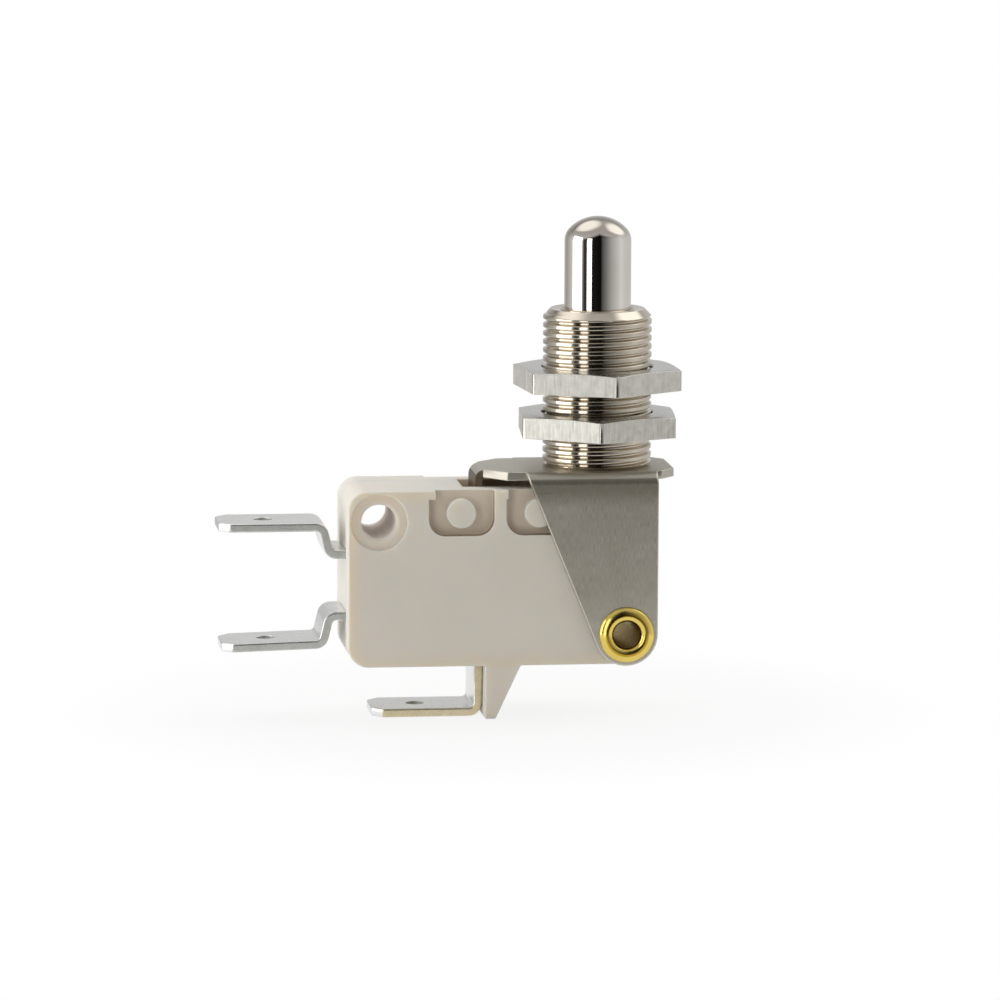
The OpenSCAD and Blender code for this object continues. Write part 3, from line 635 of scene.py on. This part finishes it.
def body_edge(edge):
    """How far each edge of the body is rounded: most at its outline, little at the ring and the seam."""
    middle = middle_of(edge)
    if all(low < value < high for low, value, high in zip(cavity[0], middle, cavity[1])):
        return 0
    if abs(middle.y - seam_y) < near:
        return seam_edge
    on_face = min(abs(middle.y - body_front), abs(middle.y - body_rear)) < near
    at_side = abs(middle.x - body_left) < near or abs(middle.x - body_right) < near
    at_level = abs(middle.z - body_top) < near or abs(middle.z - body_floor) < near
    on_arc = any(abs(math.hypot(middle.x - x, middle.z - z) - r) < near and
                 (middle.x - x) * (x - body_left - body_right) > -near for x, z, r in corners)
    if on_face and (at_side or at_level or on_arc):
        return outline_edge
    if abs(math.hypot(middle.x - mount_x, middle.z - mount_z) - ring_shown_r) < near:
        return ring_edge
    at_tooth = tooth_x - tooth_w - near < middle.x < tooth_x - tooth_trim + near
    if at_tooth and middle.z > body_top - tooth_h - near:
        return tooth_edge
    in_recess = recess_low < middle.z and recess_zone[0] < middle.x < recess_zone[1]
    return recess_edge if on_face and in_recess else detail_edge


for node in ("housing", "cover"):
    shape = whole_faces(node)
    for vert in shape.verts:
        away = Vector((vert.co.x - mount_x * MM, vert.co.z - mount_z * MM))
        at_ring = min(abs(vert.co.y / MM - body_front), abs(vert.co.y / MM - body_rear)) < ring_deep
        if at_ring and abs(away.length / MM - ring_r) < near:
            away *= ring_shown_r / ring_r
            vert.co.x = mount_x * MM + away.x
            vert.co.z = mount_z * MM + away.y
        at_tooth = abs(vert.co.x / MM - tooth_x) < near and vert.co.z / MM > body_top - tooth_h - near
        if at_tooth and abs(vert.co.y) > recess_floor_y * MM:
            vert.co.x -= tooth_trim * MM
    half = softened(node + "_moulding", shape, body_edge)
    coated(half, cream, recess_shade_cream, wall_shade_cream, bore_lit_cream)
    for face in half.data.polygons:
        x, y, z = face.center / MM
        inset = min(y - body_front, body_rear - y)
        at_recess = (inset < recess_depth + 0.1 and recess_low < z < body_top - 0.2
                     and recess_zone[0] < x < recess_zone[1])
        off_pip = min(math.hypot(x - pip_x, z - pip_z) for pip_x in pip_xs)
        # Recess floors take the painted shade.
        if at_recess and abs(face.normal.y) > 0.9 and inset > recess_depth - 0.1:
            face.material_index = 1
        # Recess walls away from the pips take the darker painted shade.
        elif at_recess and abs(face.normal.y) < 0.3 and off_pip > pip_zone and inset > 0.1:
            face.material_index = 2
        # The mounting hole's bore takes the painted light.
        elif math.hypot(x - mount_x, z - mount_z) < mount_zone and inset > 0.5:
            face.material_index = 3
        # The trough under the bracket's plate takes the same painted shade.
        elif trough_low < z < body_top - 0.1 and trough_x[0] < x < trough_x[1] and abs(y) < trough_half:
            face.material_index = 1
    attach(half, "switch")
    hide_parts(node)

# Bracket
# A blank of nickel-plated steel sheet is bent into a plate with two legs and a hooked lip,
# and is riveted over the right end of the body.
bracket_nickel = surface("bracket_nickel", light=(0.57, 0.54, 0.475), dark=(0.50, 0.47, 0.405),
                         rough=(0.38, 0.50), cloud_mm=4, grain_mm=(0.06, 0.06, 0.5), bump_mm=0.005, fleck=0.4)
# Painted shade: a dark brown nickel for the lip's lower faces, where they hook into the trough.
lip_shade_nickel = surface("lip_shade_nickel", light=(0.26, 0.21, 0.15), dark=(0.14, 0.105, 0.07),
                         rough=(0.4, 0.55), cloud_mm=0.8, grain_mm=(0.2, 0.2, 0.2), bump_mm=0.01, fleck=0.5)
satin_nickel = surface("satin_nickel", light=(0.70, 0.655, 0.565), dark=(0.50, 0.465, 0.385),
                       rough=(0.34, 0.48), cloud_mm=4, grain_mm=(0.05, 0.05, 0.7), bump_mm=0.010, fleck=0.65)
sheet_t = 0.8
plate_top = -4.85
plate_low = plate_top - sheet_t
plate_edge_y = 4.65
leg_face = 6.0
bend_r = 1.05
bend_z = plate_top - bend_r
bend_y = leg_face - bend_r
eyelet_x = 2.0
eyelet_z = -19.5
eyelet_zone = 2
lip_from = -10.4
lip_edge = 0.04
leg_edge = 0.15
bend_extra = 0.12
sheet_edge = 0.1

# The corner cuts beside the lip stand a little off the solid's and lean as the press left them.
cut_front_x = -9.0
cut_front_shift = 0.4
cut_rear_x = -10.3
cut_rear_y = 2.4
cut_rear_shift = -0.22
cut_lean = (-0.08, 0.07)
cut_zone_x = (-10.6, -8.5)
cut_zone_y = (2.3, 4.7)

# Painted shade darkens the legs just below the bend, and a broken streak along it is darker still.
streak_z = -6.6
tree = satin_nickel.node_tree
place = coordinates(tree)
under_bend_shade = ranged(tree, place["Z"], -8.4 * MM, (bend_z - 0.2) * MM, 0.0, 0.65, soft=True)
from_streak = worked(tree, "ABSOLUTE", worked(tree, "SUBTRACT", place["Z"], streak_z * MM))
streak_place = tree.nodes.new("ShaderNodeTexCoord")
streak_noise = added(tree, "ShaderNodeTexNoise", {"Vector": streak_place.outputs["Object"], "Scale": 1 / (2.5 * MM)})
streak = worked(tree, "MULTIPLY", ranged(tree, from_streak, 0.4 * MM, 0.0, soft=True),
                ranged(tree, streak_noise.outputs["Fac"], 0.4, 0.6))
leg_shade_and_streak = worked(tree, "MAXIMUM", under_bend_shade, worked(tree, "MULTIPLY", streak, 0.7))
overlaid(satin_nickel, leg_shade_and_streak, (0.25, 0.22, 0.165))


def bracket_edge(edge):
    """The legs' outer rims are rounded by the press, most at the bends; the other edges stay finer, and
    the inner corners and the rims of the eyelet's holes sharp."""
    middle = middle_of(edge)
    at_eyelet = math.hypot(middle.x - eyelet_x, middle.z - eyelet_z) < eyelet_zone
    if at_eyelet or edge.calc_face_angle_signed() < 0:
        return 0
    out = abs(middle.y) - bend_y
    up = middle.z - bend_z
    if abs(math.hypot(out, up) - bend_r) < 0.03 and up > 0 and out > 0:
        return leg_edge + bend_extra * math.sin(2 * math.atan2(out, up)) ** 2
    if middle.x < lip_from:
        return lip_edge
    on_leg = abs(abs(middle.y) - leg_face) < near
    beside_bend = plate_edge_y + near < abs(middle.y) < bend_y and middle.z > plate_top - near
    return leg_edge if on_leg or beside_bend else sheet_edge


shape = whole_faces("bracket")
split_faces(shape, axis=1, least_area=20, planes=[((0, 0, eyelet_z), (0, 0, 1))])
for vert in shape.verts:
    x, y, z = vert.co / MM
    if abs(x - cut_front_x) < near and abs(abs(y) - plate_edge_y) < near:
        vert.co.x += cut_front_shift * MM
    if abs(x - cut_rear_x) < near and abs(abs(y) - cut_rear_y) < near:
        vert.co.x += cut_rear_shift * MM
    at_cut = cut_zone_x[0] < x < cut_zone_x[1] and cut_zone_y[0] < abs(y) < cut_zone_y[1]
    if at_cut and z < plate_low + near:
        vert.co.x += cut_lean[0] * MM
        vert.co.y += math.copysign(cut_lean[1] * MM, vert.co.y)
bracket = softened("bent_bracket", shape, bracket_edge)
coated(bracket, bracket_nickel, satin_nickel, lip_shade_nickel)
for face in bracket.data.polygons:
    on_leg = abs(face.normal.y) > 0.7 and abs(face.center.y) > (leg_face - 0.2) * MM
    # The lip's lower faces take the painted shade.
    on_lip = face.center.x < lip_from * MM and face.normal.z < 0.6
    face.material_index = 1 if on_leg else 2 if on_lip else 0
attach(bracket, "switch")
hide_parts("bracket")


# Bushing
# A brass tube is turned, threaded and nickel-plated; its spigot is staked under the bracket's
# plate. Above is the plunger's guide, and below it the room for the return spring.
def thread_tree():
    """Node tree that winds a screw thread from a flat grid, one pitch of the grid for each turn."""
    tree = new_tree("screw_thread", [
        ("Crest radius", "Float"), ("Root radius", "Float"), ("End radius", "Float"), ("Pitch", "Float"),
        ("Bottom", "Float"), ("Top", "Float"), ("Turns", "Float"), ("Start angle", "Float"),
        ("Steps round", "Int"), ("Steps across", "Int"), ("Material", "Material")])
    nodes = tree.nodes
    size = nodes.new("NodeGroupInput").outputs
    steps = worked(tree, "MULTIPLY", size["Turns"], size["Steps round"])
    grid = added(tree, "GeometryNodeMeshGrid", {
        "Size X": size["Turns"], "Size Y": 1, "Vertices X": worked(tree, "ADD", steps, 1),
        "Vertices Y": worked(tree, "ADD", size["Steps across"], 1)})
    where = nodes.new("GeometryNodeInputPosition")
    apart = added(tree, "ShaderNodeSeparateXYZ", {"Vector": where.outputs["Position"]})
    turn = worked(tree, "ADD", apart.outputs["X"], worked(tree, "MULTIPLY", size["Turns"], 0.5))
    share = worked(tree, "ADD", apart.outputs["Y"], 0.5)
    centred = worked(tree, "ABSOLUTE", worked(tree, "SUBTRACT", worked(tree, "MULTIPLY", share, 2), 1))
    flank = ranged(tree, centred, 0.85, 0.45)
    depth = worked(tree, "SUBTRACT", size["Crest radius"], size["Root radius"])
    radius = worked(tree, "ADD", size["Root radius"], worked(tree, "MULTIPLY", depth, flank))
    climb = worked(tree, "SUBTRACT", worked(tree, "ADD", turn, share), 1)
    height = worked(tree, "ADD", size["Bottom"], worked(tree, "MULTIPLY", size["Pitch"], climb))
    height = worked(tree, "MINIMUM", worked(tree, "MAXIMUM", height, size["Bottom"]), size["Top"])
    top_limit = worked(tree, "ADD", size["End radius"], worked(tree, "SUBTRACT", size["Top"], height))
    low_limit = worked(tree, "ADD", size["Root radius"], worked(tree, "SUBTRACT", height, size["Bottom"]))
    radius = worked(tree, "MINIMUM", radius, worked(tree, "MINIMUM", top_limit, low_limit))
    angle = worked(tree, "ADD", worked(tree, "MULTIPLY", turn, 2 * math.pi), size["Start angle"])
    spot = added(tree, "ShaderNodeCombineXYZ", {
        "X": worked(tree, "MULTIPLY", radius, worked(tree, "COSINE", angle)),
        "Y": worked(tree, "MULTIPLY", radius, worked(tree, "SINE", angle)), "Z": height})
    wind = added(tree, "GeometryNodeSetPosition", {"Position": spot.outputs["Vector"]})
    close = added(tree, "GeometryNodeMergeByDistance", {"Distance": 0.0005 * MM})
    whole = nodes.new("GeometryNodeRealizeInstances")
    paint = added(tree, "GeometryNodeSetMaterial", {"Material": size["Material"]})
    chained(tree, grid, wind, close, whole, paint, nodes.new("NodeGroupOutput"))
    return tree


bushing_nickel = surface("bushing_nickel", light=(0.63, 0.57, 0.48), dark=(0.52, 0.465, 0.38),
                         rough=(0.06, 0.14), cloud_mm=2, grain_mm=(0.3, 0.3, 0.04), bump_mm=0.002)
crest_r = 4.89
root_r = 4.58
thread_end_r = 4.25
thread_pitch = 0.75
bushing_top = 9.3
bushing_low = -6.4
mouth = 0.3
guide_r = 3.05
guide_low = 4.3
room_r = 3.7
stake_r = 4.75
spigot_r = 4.3
round_steps = 96
across_steps = 16
start_step = 13
thread_turns = math.ceil((bushing_top - plate_top) / thread_pitch) + 1
thread = placed("thread", bpy.data.meshes.new("thread"))
winding = thread.modifiers.new("winding", "NODES")
winding.node_group = thread_tree()
for name, value in (("Crest radius", crest_r * MM), ("Root radius", root_r * MM),
                    ("End radius", thread_end_r * MM), ("Pitch", thread_pitch * MM),
                    ("Bottom", plate_top * MM), ("Top", bushing_top * MM), ("Turns", float(thread_turns)),
                    ("Start angle", start_step * 2 * math.pi / round_steps), ("Steps round", round_steps),
                    ("Steps across", across_steps), ("Material", bushing_nickel)):
    set_input(winding, name, value)
settled(thread)
bore = eased([(guide_r + mouth, bushing_top, 0.1), (guide_r, bushing_top - mouth, 0.1),
              (guide_r, guide_low, 0.05), (room_r, guide_low, 0), (room_r, bushing_low, 0.1),
              (stake_r, bushing_low, 0.15), (stake_r, plate_low, 0.1), (spigot_r, plate_low, 0),
              (spigot_r, plate_top, 0)])
inside = turned("bushing_inside", [(thread_end_r, bushing_top)] + bore + [(root_r, plate_top)],
                steps=round_steps, closed=False)
joined = bmesh.new()
joined.from_mesh(thread.data)
joined.from_mesh(inside.data)
bmesh.ops.remove_doubles(joined, verts=joined.verts, dist=weld * MM)
bmesh.ops.dissolve_degenerate(joined, edges=joined.edges, dist=0.0005 * MM)
bmesh.ops.recalc_face_normals(joined, faces=joined.faces)
bushing = placed("threaded_bushing", bpy.data.meshes.new("threaded_bushing"))
joined.to_mesh(bushing.data)
joined.free()
bpy.data.objects.remove(thread)
bpy.data.objects.remove(inside)
coated(bushing, bushing_nickel)
bushing.data.shade_smooth()
bushing.data.set_sharp_from_angle(angle=math.radians(40))
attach(bushing, "switch")
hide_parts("bushing")


# Spring seat and return spring
# A steel washer closes the bushing from below. It carries a compression coil of drawn steel wire
# that pushes the plunger out.
def washer(name, inner_r, outer_r, low, high, ease):
    """A flat ring with eased rims."""
    return turned(name, eased([(inner_r, low, ease), (outer_r, low, ease),
                               (outer_r, high, ease), (inner_r, high, ease)]))


def coil_path(mean_d, wire_mm, low, high, turns, steps=32):
    """Middle line of a compression coil between two heights, with a flat turn at each end."""
    rise = high - low - wire_mm
    pitch = (rise - 2 * wire_mm) / (turns - 2)
    points = []
    for i in range(turns * steps + 1):
        t = i / steps
        climb = min(t, 1) * wire_mm + max(0, min(t - 1, turns - 2)) * pitch + max(0, t - turns + 1) * wire_mm
        angle = 2 * math.pi * t
        points.append((mean_d / 2 * math.cos(angle), mean_d / 2 * math.sin(angle), low + wire_mm / 2 + climb))
    return points


seat = washer("spring_washer", inner_r=1.8, outer_r=3.68, low=bushing_low, high=-5.8, ease=0.08)
coated(seat, wire_steel)
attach(seat, "switch")
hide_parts("spring_seat")
return_wire = 0.45
return_d = 6.65
return_turns = 6
return_low = -5.78
return_high = 3.46
return_path = coil_path(return_d, return_wire, return_low, return_high, return_turns)
return_spring = drawn_wire("return_coil", return_path, return_wire)
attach(return_spring, "switch")
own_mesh(return_spring)
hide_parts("return_spring")

# Plunger
# A steel pin is turned with a dome and a flange, then polished. The flange stops it under the
# guide, and a bore from below takes the push pin and its spring.
polished = surface("polished_steel", light=(0.74, 0.70, 0.65), dark=(0.69, 0.65, 0.60), rough=(0.03, 0.07),
                   cloud_mm=3, grain_mm=(0.2, 0.2, 0.05), bump_mm=0.0004)
plunger_r = 3.0
plunger_top = 17.6
dome_h = 2.2
dome_edge_r = 1.6
dome_z = plunger_top - dome_h
flange_r = 3.6
flange_top = 4.28
flange_low = 3.48
pin_bore_r = 2.1
pin_bore_top = 14.7
cap_steps = 12
rim_steps = 16

# The dome's colour is painted darker towards its top: painted shade in its reflection.
tree = polished.node_tree
dome_shade = ranged(tree, coordinates(tree)["Z"], (dome_z + 0.2) * MM, (dome_z + 1.1) * MM, soft=True)
overlaid(polished, dome_shade, (0.53, 0.485, 0.43))

# A shallow cap and a tighter edge meet in one tangent.
edge_x = plunger_r - dome_edge_r
cap_r = (dome_h ** 2 + edge_x ** 2 - dome_edge_r ** 2) / (2 * (dome_h - dome_edge_r))
cap_z = plunger_top - cap_r
meet = math.atan2(edge_x, dome_z - cap_z)
dome = []
for i in range(cap_steps + 1):
    lean = meet * i / cap_steps
    dome.append((cap_r * math.sin(lean), cap_z + cap_r * math.cos(lean)))
for i in range(1, rim_steps + 1):
    lean = meet + (math.pi / 2 - meet) * i / rim_steps
    dome.append((edge_x + dome_edge_r * math.sin(lean), dome_z + dome_edge_r * math.cos(lean)))
below = eased([(plunger_r, flange_top, 0), (flange_r, flange_top, 0.15), (flange_r, flange_low, 0.15),
               (pin_bore_r, flange_low, 0.1), (pin_bore_r, pin_bore_top, 0)])
plunger = turned("domed_plunger", dome + below + [(0, pin_bore_top)], steps=128, closed=False)
coated(plunger, polished)
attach(plunger, "plunger")
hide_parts("plunger")

# Push pin, its ring and the overtravel spring
# A headed pin slides in the plunger's bore, kept by a pressed brass ring. The small coil above
# it gives way once the button has reached its stop.
ring_brass = surface("ring_brass", light=(0.80, 0.62, 0.28), dark=(0.70, 0.52, 0.21), rough=(0.15, 0.28),
                     cloud_mm=2, grain_mm=(0.2, 0.2, 0.05), bump_mm=0.003)
retainer = washer("pin_ring", inner_r=1.35, outer_r=2.08, low=flange_low, high=4.08, ease=0.06)
coated(retainer, ring_brass)
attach(retainer, "plunger")
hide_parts("pin_retainer")
pin_r = 1.25
pin_low = -4.08
pin_taper = 0.4
pin_head_r = 2.0
pin_head = 4.1
pin_top = pin_head + 1
pin = turned("headed_pin", eased([
    (0, pin_low, 0), (pin_r - pin_taper, pin_low, 0.1), (pin_r, pin_low + pin_taper, 0.1),
    (pin_r, pin_head, 0), (pin_head_r, pin_head, 0.08), (pin_head_r, pin_top, 0.15), (0, pin_top, 0)]),
    closed=False)
coated(pin, polished)
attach(pin, "push_pin")
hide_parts("push_pin")
over_wire = 0.35
over_d = 3.55
over_turns = 9
over_low = 5.12
over_high = 14.68
over_path = coil_path(over_d, over_wire, over_low, over_high, over_turns)
over_spring = drawn_wire("overtravel_coil", over_path, over_wire)
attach(over_spring, "push_pin")
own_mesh(over_spring)
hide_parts("overtravel_spring")

# Nuts
# Two thin hex nuts are sawn from nickel-plated brass bar; their flats keep the upright marks
# of the cut, and their top corners are turned off.
nut_nickel = surface("nut_nickel", light=(0.82, 0.805, 0.745), dark=(0.52, 0.505, 0.455), rough=(0.42, 0.66),
                     cloud_mm=0.7, grain_mm=(0.20, 0.20, 2.2), bump_mm=0.035, fleck=0.6)
faced_nickel = surface("faced_nickel", light=(0.63, 0.625, 0.60), dark=(0.55, 0.545, 0.52),
                       rough=(0.18, 0.30), cloud_mm=2.5, grain_mm=(0.15, 0.15, 0.15), bump_mm=0.004)
rubbed_nickel = surface("rubbed_nickel", light=(0.58, 0.56, 0.51), dark=(0.48, 0.46, 0.41),
                        rough=(0.14, 0.24), cloud_mm=1.5, grain_mm=(0.10, 0.10, 0.6), bump_mm=0.004)
corner_edge = 0.22
rim_edge = 0.06
nut_bore_r = 5.0
sink = 0.3
sink_shown = 0.12
corner_from_r = 7
flat_half_deg = 8


def nut_edge(edge):
    """The upright corners are rubbed round, and the rims keep a fine edge."""
    stands = abs((edge.verts[0].co - edge.verts[1].co).normalized().z) > 0.9
    return corner_edge if stands else rim_edge


for node, first_flat, middle_z in (("upper_nut", 6.0, 3.1), ("lower_nut", 55.5, -1.0)):
    shape = whole_faces(node)
    for vert in shape.verts:
        if abs(vert.co.xy.length - (nut_bore_r + sink) * MM) < near * MM:
            vert.co.xy *= (nut_bore_r + sink_shown) / (nut_bore_r + sink)
        elif abs(vert.co.xy.length - nut_bore_r * MM) < near * MM:
            vert.co.z += math.copysign(sink - sink_shown, vert.co.z - middle_z * MM) * MM
    nut = softened(node + "_hex", shape, nut_edge)
    coated(nut, nut_nickel, rubbed_nickel, faced_nickel)
    for face in nut.data.polygons:
        around = (math.degrees(math.atan2(face.normal.y, face.normal.x)) - first_flat) % 60
        off_flat = min(around, 60 - around)
        stands = abs(face.normal.z) < 0.3
        on_corner = stands and off_flat > flat_half_deg and face.center.xy.length > corner_from_r * MM
        face.material_index = 1 if on_corner else 2 if face.normal.z > 0.7 else 0
    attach(nut, node)
    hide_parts(node)

# Eyelet
# A hollow rivet of yellow brass tube goes through both legs and the body, and holds them together.
# Its two ends are rolled over on the legs.
eyelet_brass = surface("eyelet_brass", light=(0.82, 0.64, 0.18), dark=(0.70, 0.53, 0.12), rough=(0.14, 0.24),
                       cloud_mm=2, grain_mm=(0.15, 0.05, 0.15), bump_mm=0.003)
# A darker, rougher brass for the inside of the barrel.
dark_barrel = surface("dark_barrel_brass", light=(0.56, 0.39, 0.04), dark=(0.30, 0.20, 0.015), rough=(0.36, 0.52),
                    cloud_mm=0.7, grain_mm=(0.2, 0.2, 0.2), bump_mm=0.02, fleck=0.5)
barrel_r = 1.5
head_h = 0.55
head_r = 2.5
roll_r = 1.75
flare_r = 1.4
flare_lean = math.pi / 3
roll_steps = 16
crest_low_r = 1.62
crest_high_r = 2.02

# The crest of the roll is painted a dark olive brown: painted shade.
tree = eyelet_brass.node_tree
from_axis = off_axis(tree, coordinates(tree), eyelet_x, eyelet_z)
crest_r_mid = (crest_low_r + crest_high_r) / 2
off_crest = worked(tree, "ABSOLUTE", worked(tree, "SUBTRACT", from_axis, crest_r_mid * MM))
crest_shade = ranged(tree, off_crest, (crest_high_r - crest_low_r) / 2 * MM, 0.06 * MM, 0.0, 0.85, soft=True)
overlaid(eyelet_brass, crest_shade, (0.42, 0.25, 0.012))
profile = [(barrel_r, leg_face)]
for i in range(roll_steps + 1):
    lean = flare_lean * i / roll_steps
    rise = head_h / math.sin(flare_lean) * math.sin(lean)
    profile.append((head_r - flare_r * (1 - math.cos(lean)), leg_face + rise))
for i in range(roll_steps + 1):
    lean = math.pi / 2 * i / roll_steps
    profile.append((roll_r - head_h * math.sin(lean), leg_face + head_h * math.cos(lean)))
profile += [(r, -z) for r, z in reversed(profile)]
eyelet = turned("rolled_eyelet", profile, steps=96)
laid = Matrix.Rotation(math.pi / 2, 4, "X")
eyelet.data.transform(Matrix.Translation((eyelet_x * MM, 0, eyelet_z * MM)) @ laid)
coated(eyelet, eyelet_brass, dark_barrel)
# Faces inside the legs, along the barrel, take the darker brass.
for face in eyelet.data.polygons:
    face.material_index = 1 if abs(face.center.y) < leg_face * MM else 0
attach(eyelet, "switch")
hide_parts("eyelet")

# Floor and light
# The switch stands on a pale sheet in a white studio: a large soft lamp on the left with a
# narrow one beside it, a glow overhead, and the dark room behind the camera.
floor_z = cad_box[0].z - 0.02 * MM
floor_left = -62 * MM
floor_right = 46 * MM
floor_front = -45 * MM
floor_back = 90 * MM
pool_half_x = 45 * MM
pool_half_y = 42 * MM
floor_mesh = bpy.data.meshes.new("floor")
floor_mesh.from_pydata([(floor_left, floor_front, floor_z), (floor_right, floor_front, floor_z),
                        (floor_right, floor_back, floor_z), (floor_left, floor_back, floor_z)],
                       [], [(0, 1, 2, 3)])
floor = placed("floor", floor_mesh)
pale = bpy.data.materials.new("pale_floor")
pale.use_nodes = True
tree = pale.node_tree
paper = tree.nodes["Principled BSDF"]
paper.inputs["Base Color"].default_value = (0.9, 0.9, 0.9, 1)
paper.inputs["Roughness"].default_value = 0.9
white = added(tree, "ShaderNodeEmission", {"Color": (1, 1, 1, 1)})
ray = tree.nodes.new("ShaderNodeLightPath")
seen = worked(tree, "MAXIMUM", ray.outputs["Is Camera Ray"], ray.outputs["Is Glossy Ray"])
seen = worked(tree, "MAXIMUM", seen, ray.outputs["Is Transmission Ray"])
place = tree.nodes.new("ShaderNodeTexCoord")
spread = added(tree, "ShaderNodeMapping", {
    "Vector": place.outputs["Object"], "Location": (0.2, 0.0, 0.0),
    "Scale": (1 / pool_half_x, 1 / pool_half_y, 0)})
pool = added(tree, "ShaderNodeTexGradient", {"Vector": spread.outputs["Vector"]})
pool.gradient_type = "SPHERICAL"
glow = ranged(tree, pool.outputs["Fac"], 0.0, 0.5, 1.0, 0.84, soft=True)
blend = added(tree, "ShaderNodeMixShader", {
    0: worked(tree, "MULTIPLY", seen, glow), 1: paper.outputs["BSDF"], 2: white.outputs["Emission"]})
tree.links.new(blend.outputs["Shader"], tree.nodes["Material Output"].inputs["Surface"])
floor_mesh.materials.append(pale)


def soft_lamp(name, turn_deg, height, distance, size, radiance):
    """A flat lamp that stands round the switch, turned to the right from the front, and faces it."""
    data = bpy.data.lights.new(name, "AREA")
    data.shape = "RECTANGLE"
    data.size, data.size_y = size
    data.energy = radiance * math.pi * size[0] * size[1]
    lamp = placed(name, data)
    turn = math.radians(turn_deg)
    lamp.location = (distance * math.sin(turn), -distance * math.cos(turn), height)
    lamp.rotation_mode = "QUATERNION"
    lamp.rotation_quaternion = Vector((-math.sin(turn), math.cos(turn), 0)).to_track_quat("-Z", "Y")


soft_lamp("left_lamp", turn_deg=-84, height=0.04, distance=0.35, size=(0.25, 0.30), radiance=2.2)
soft_lamp("left_strip", turn_deg=-37, height=0.06, distance=0.45, size=(0.135, 0.34), radiance=2.2)

# The walls' brightness goes by the turn from the front, and the ceiling and table by the height.
world = bpy.data.worlds.new("studio")
bpy.context.scene.world = world
world.use_nodes = True
tree = world.node_tree
way = tree.nodes.new("ShaderNodeTexCoord").outputs["Generated"]
place = coordinates(tree, "Generated")
turn = worked(tree, "ARCTAN2", place["X"], worked(tree, "MULTIPLY", place["Y"], -1))
walls = added(tree, "ShaderNodeValToRGB", {"Fac": ranged(tree, turn, -math.pi, math.pi)})
stops = [(-180, 0.66), (-144, 0.40), (-121, 0.60), (-106, 0.80), (-63, 0.50), (-57, 0.05), (-25, 0.012),
         (3, 0.004), (10, 0.11), (21, 0.21), (32, 0.35), (43, 0.48), (67, 0.70), (80, 0.84), (100, 0.74),
         (140, 0.66)]
ramp = walls.color_ramp.elements
while len(ramp) < len(stops):
    ramp.new(0.5)
for stop, (degrees, value) in zip(ramp, stops):
    stop.position = (degrees + 180) / 360
    stop.color = (value, value, value, 1)
vault = worked(tree, "ADD", place["Z"], worked(tree, "MULTIPLY", worked(tree, "ABSOLUTE", place["X"]), 0.6))
ceiling = ranged(tree, vault, 0.70, 0.95, 0.0, 0.60, soft=True)
fading = ranged(tree, place["Z"], 0.35, 0.6, 1.0, 0.7, soft=True)
studio = worked(tree, "MAXIMUM", worked(tree, "MULTIPLY", walls.outputs["Color"], fading), ceiling)
table_share = ranged(tree, place["Z"], -0.2, -0.35, soft=True)
studio = mixed(tree, table_share, studio, (0.80, 0.80, 0.80))

# Two round glows stand overhead, and the camera itself sees a white backdrop.
for glow_way, brightness in (((-0.26, 0.39, 0.89), 1.7), ((0.64, 0.22, 0.73), 1.8)):
    toward = added(tree, "ShaderNodeVectorMath", {0: way, 1: Vector(glow_way).normalized()})
    toward.operation = "DOT_PRODUCT"
    glow = ranged(tree, toward.outputs["Value"], 0.88, 0.98, soft=True)
    studio = mixed(tree, glow, studio, (brightness, brightness, brightness))
room = tree.nodes["Background"]
tree.links.new(studio, room.inputs["Color"])
backdrop = added(tree, "ShaderNodeBackground", {"Color": (1, 1, 1, 1)})
ray = tree.nodes.new("ShaderNodeLightPath")
choice = added(tree, "ShaderNodeMixShader", {
    0: ray.outputs["Is Camera Ray"], 1: room.outputs["Background"], 2: backdrop.outputs["Background"]})
tree.links.new(choice.outputs["Shader"], tree.nodes["World Output"].inputs["Surface"])
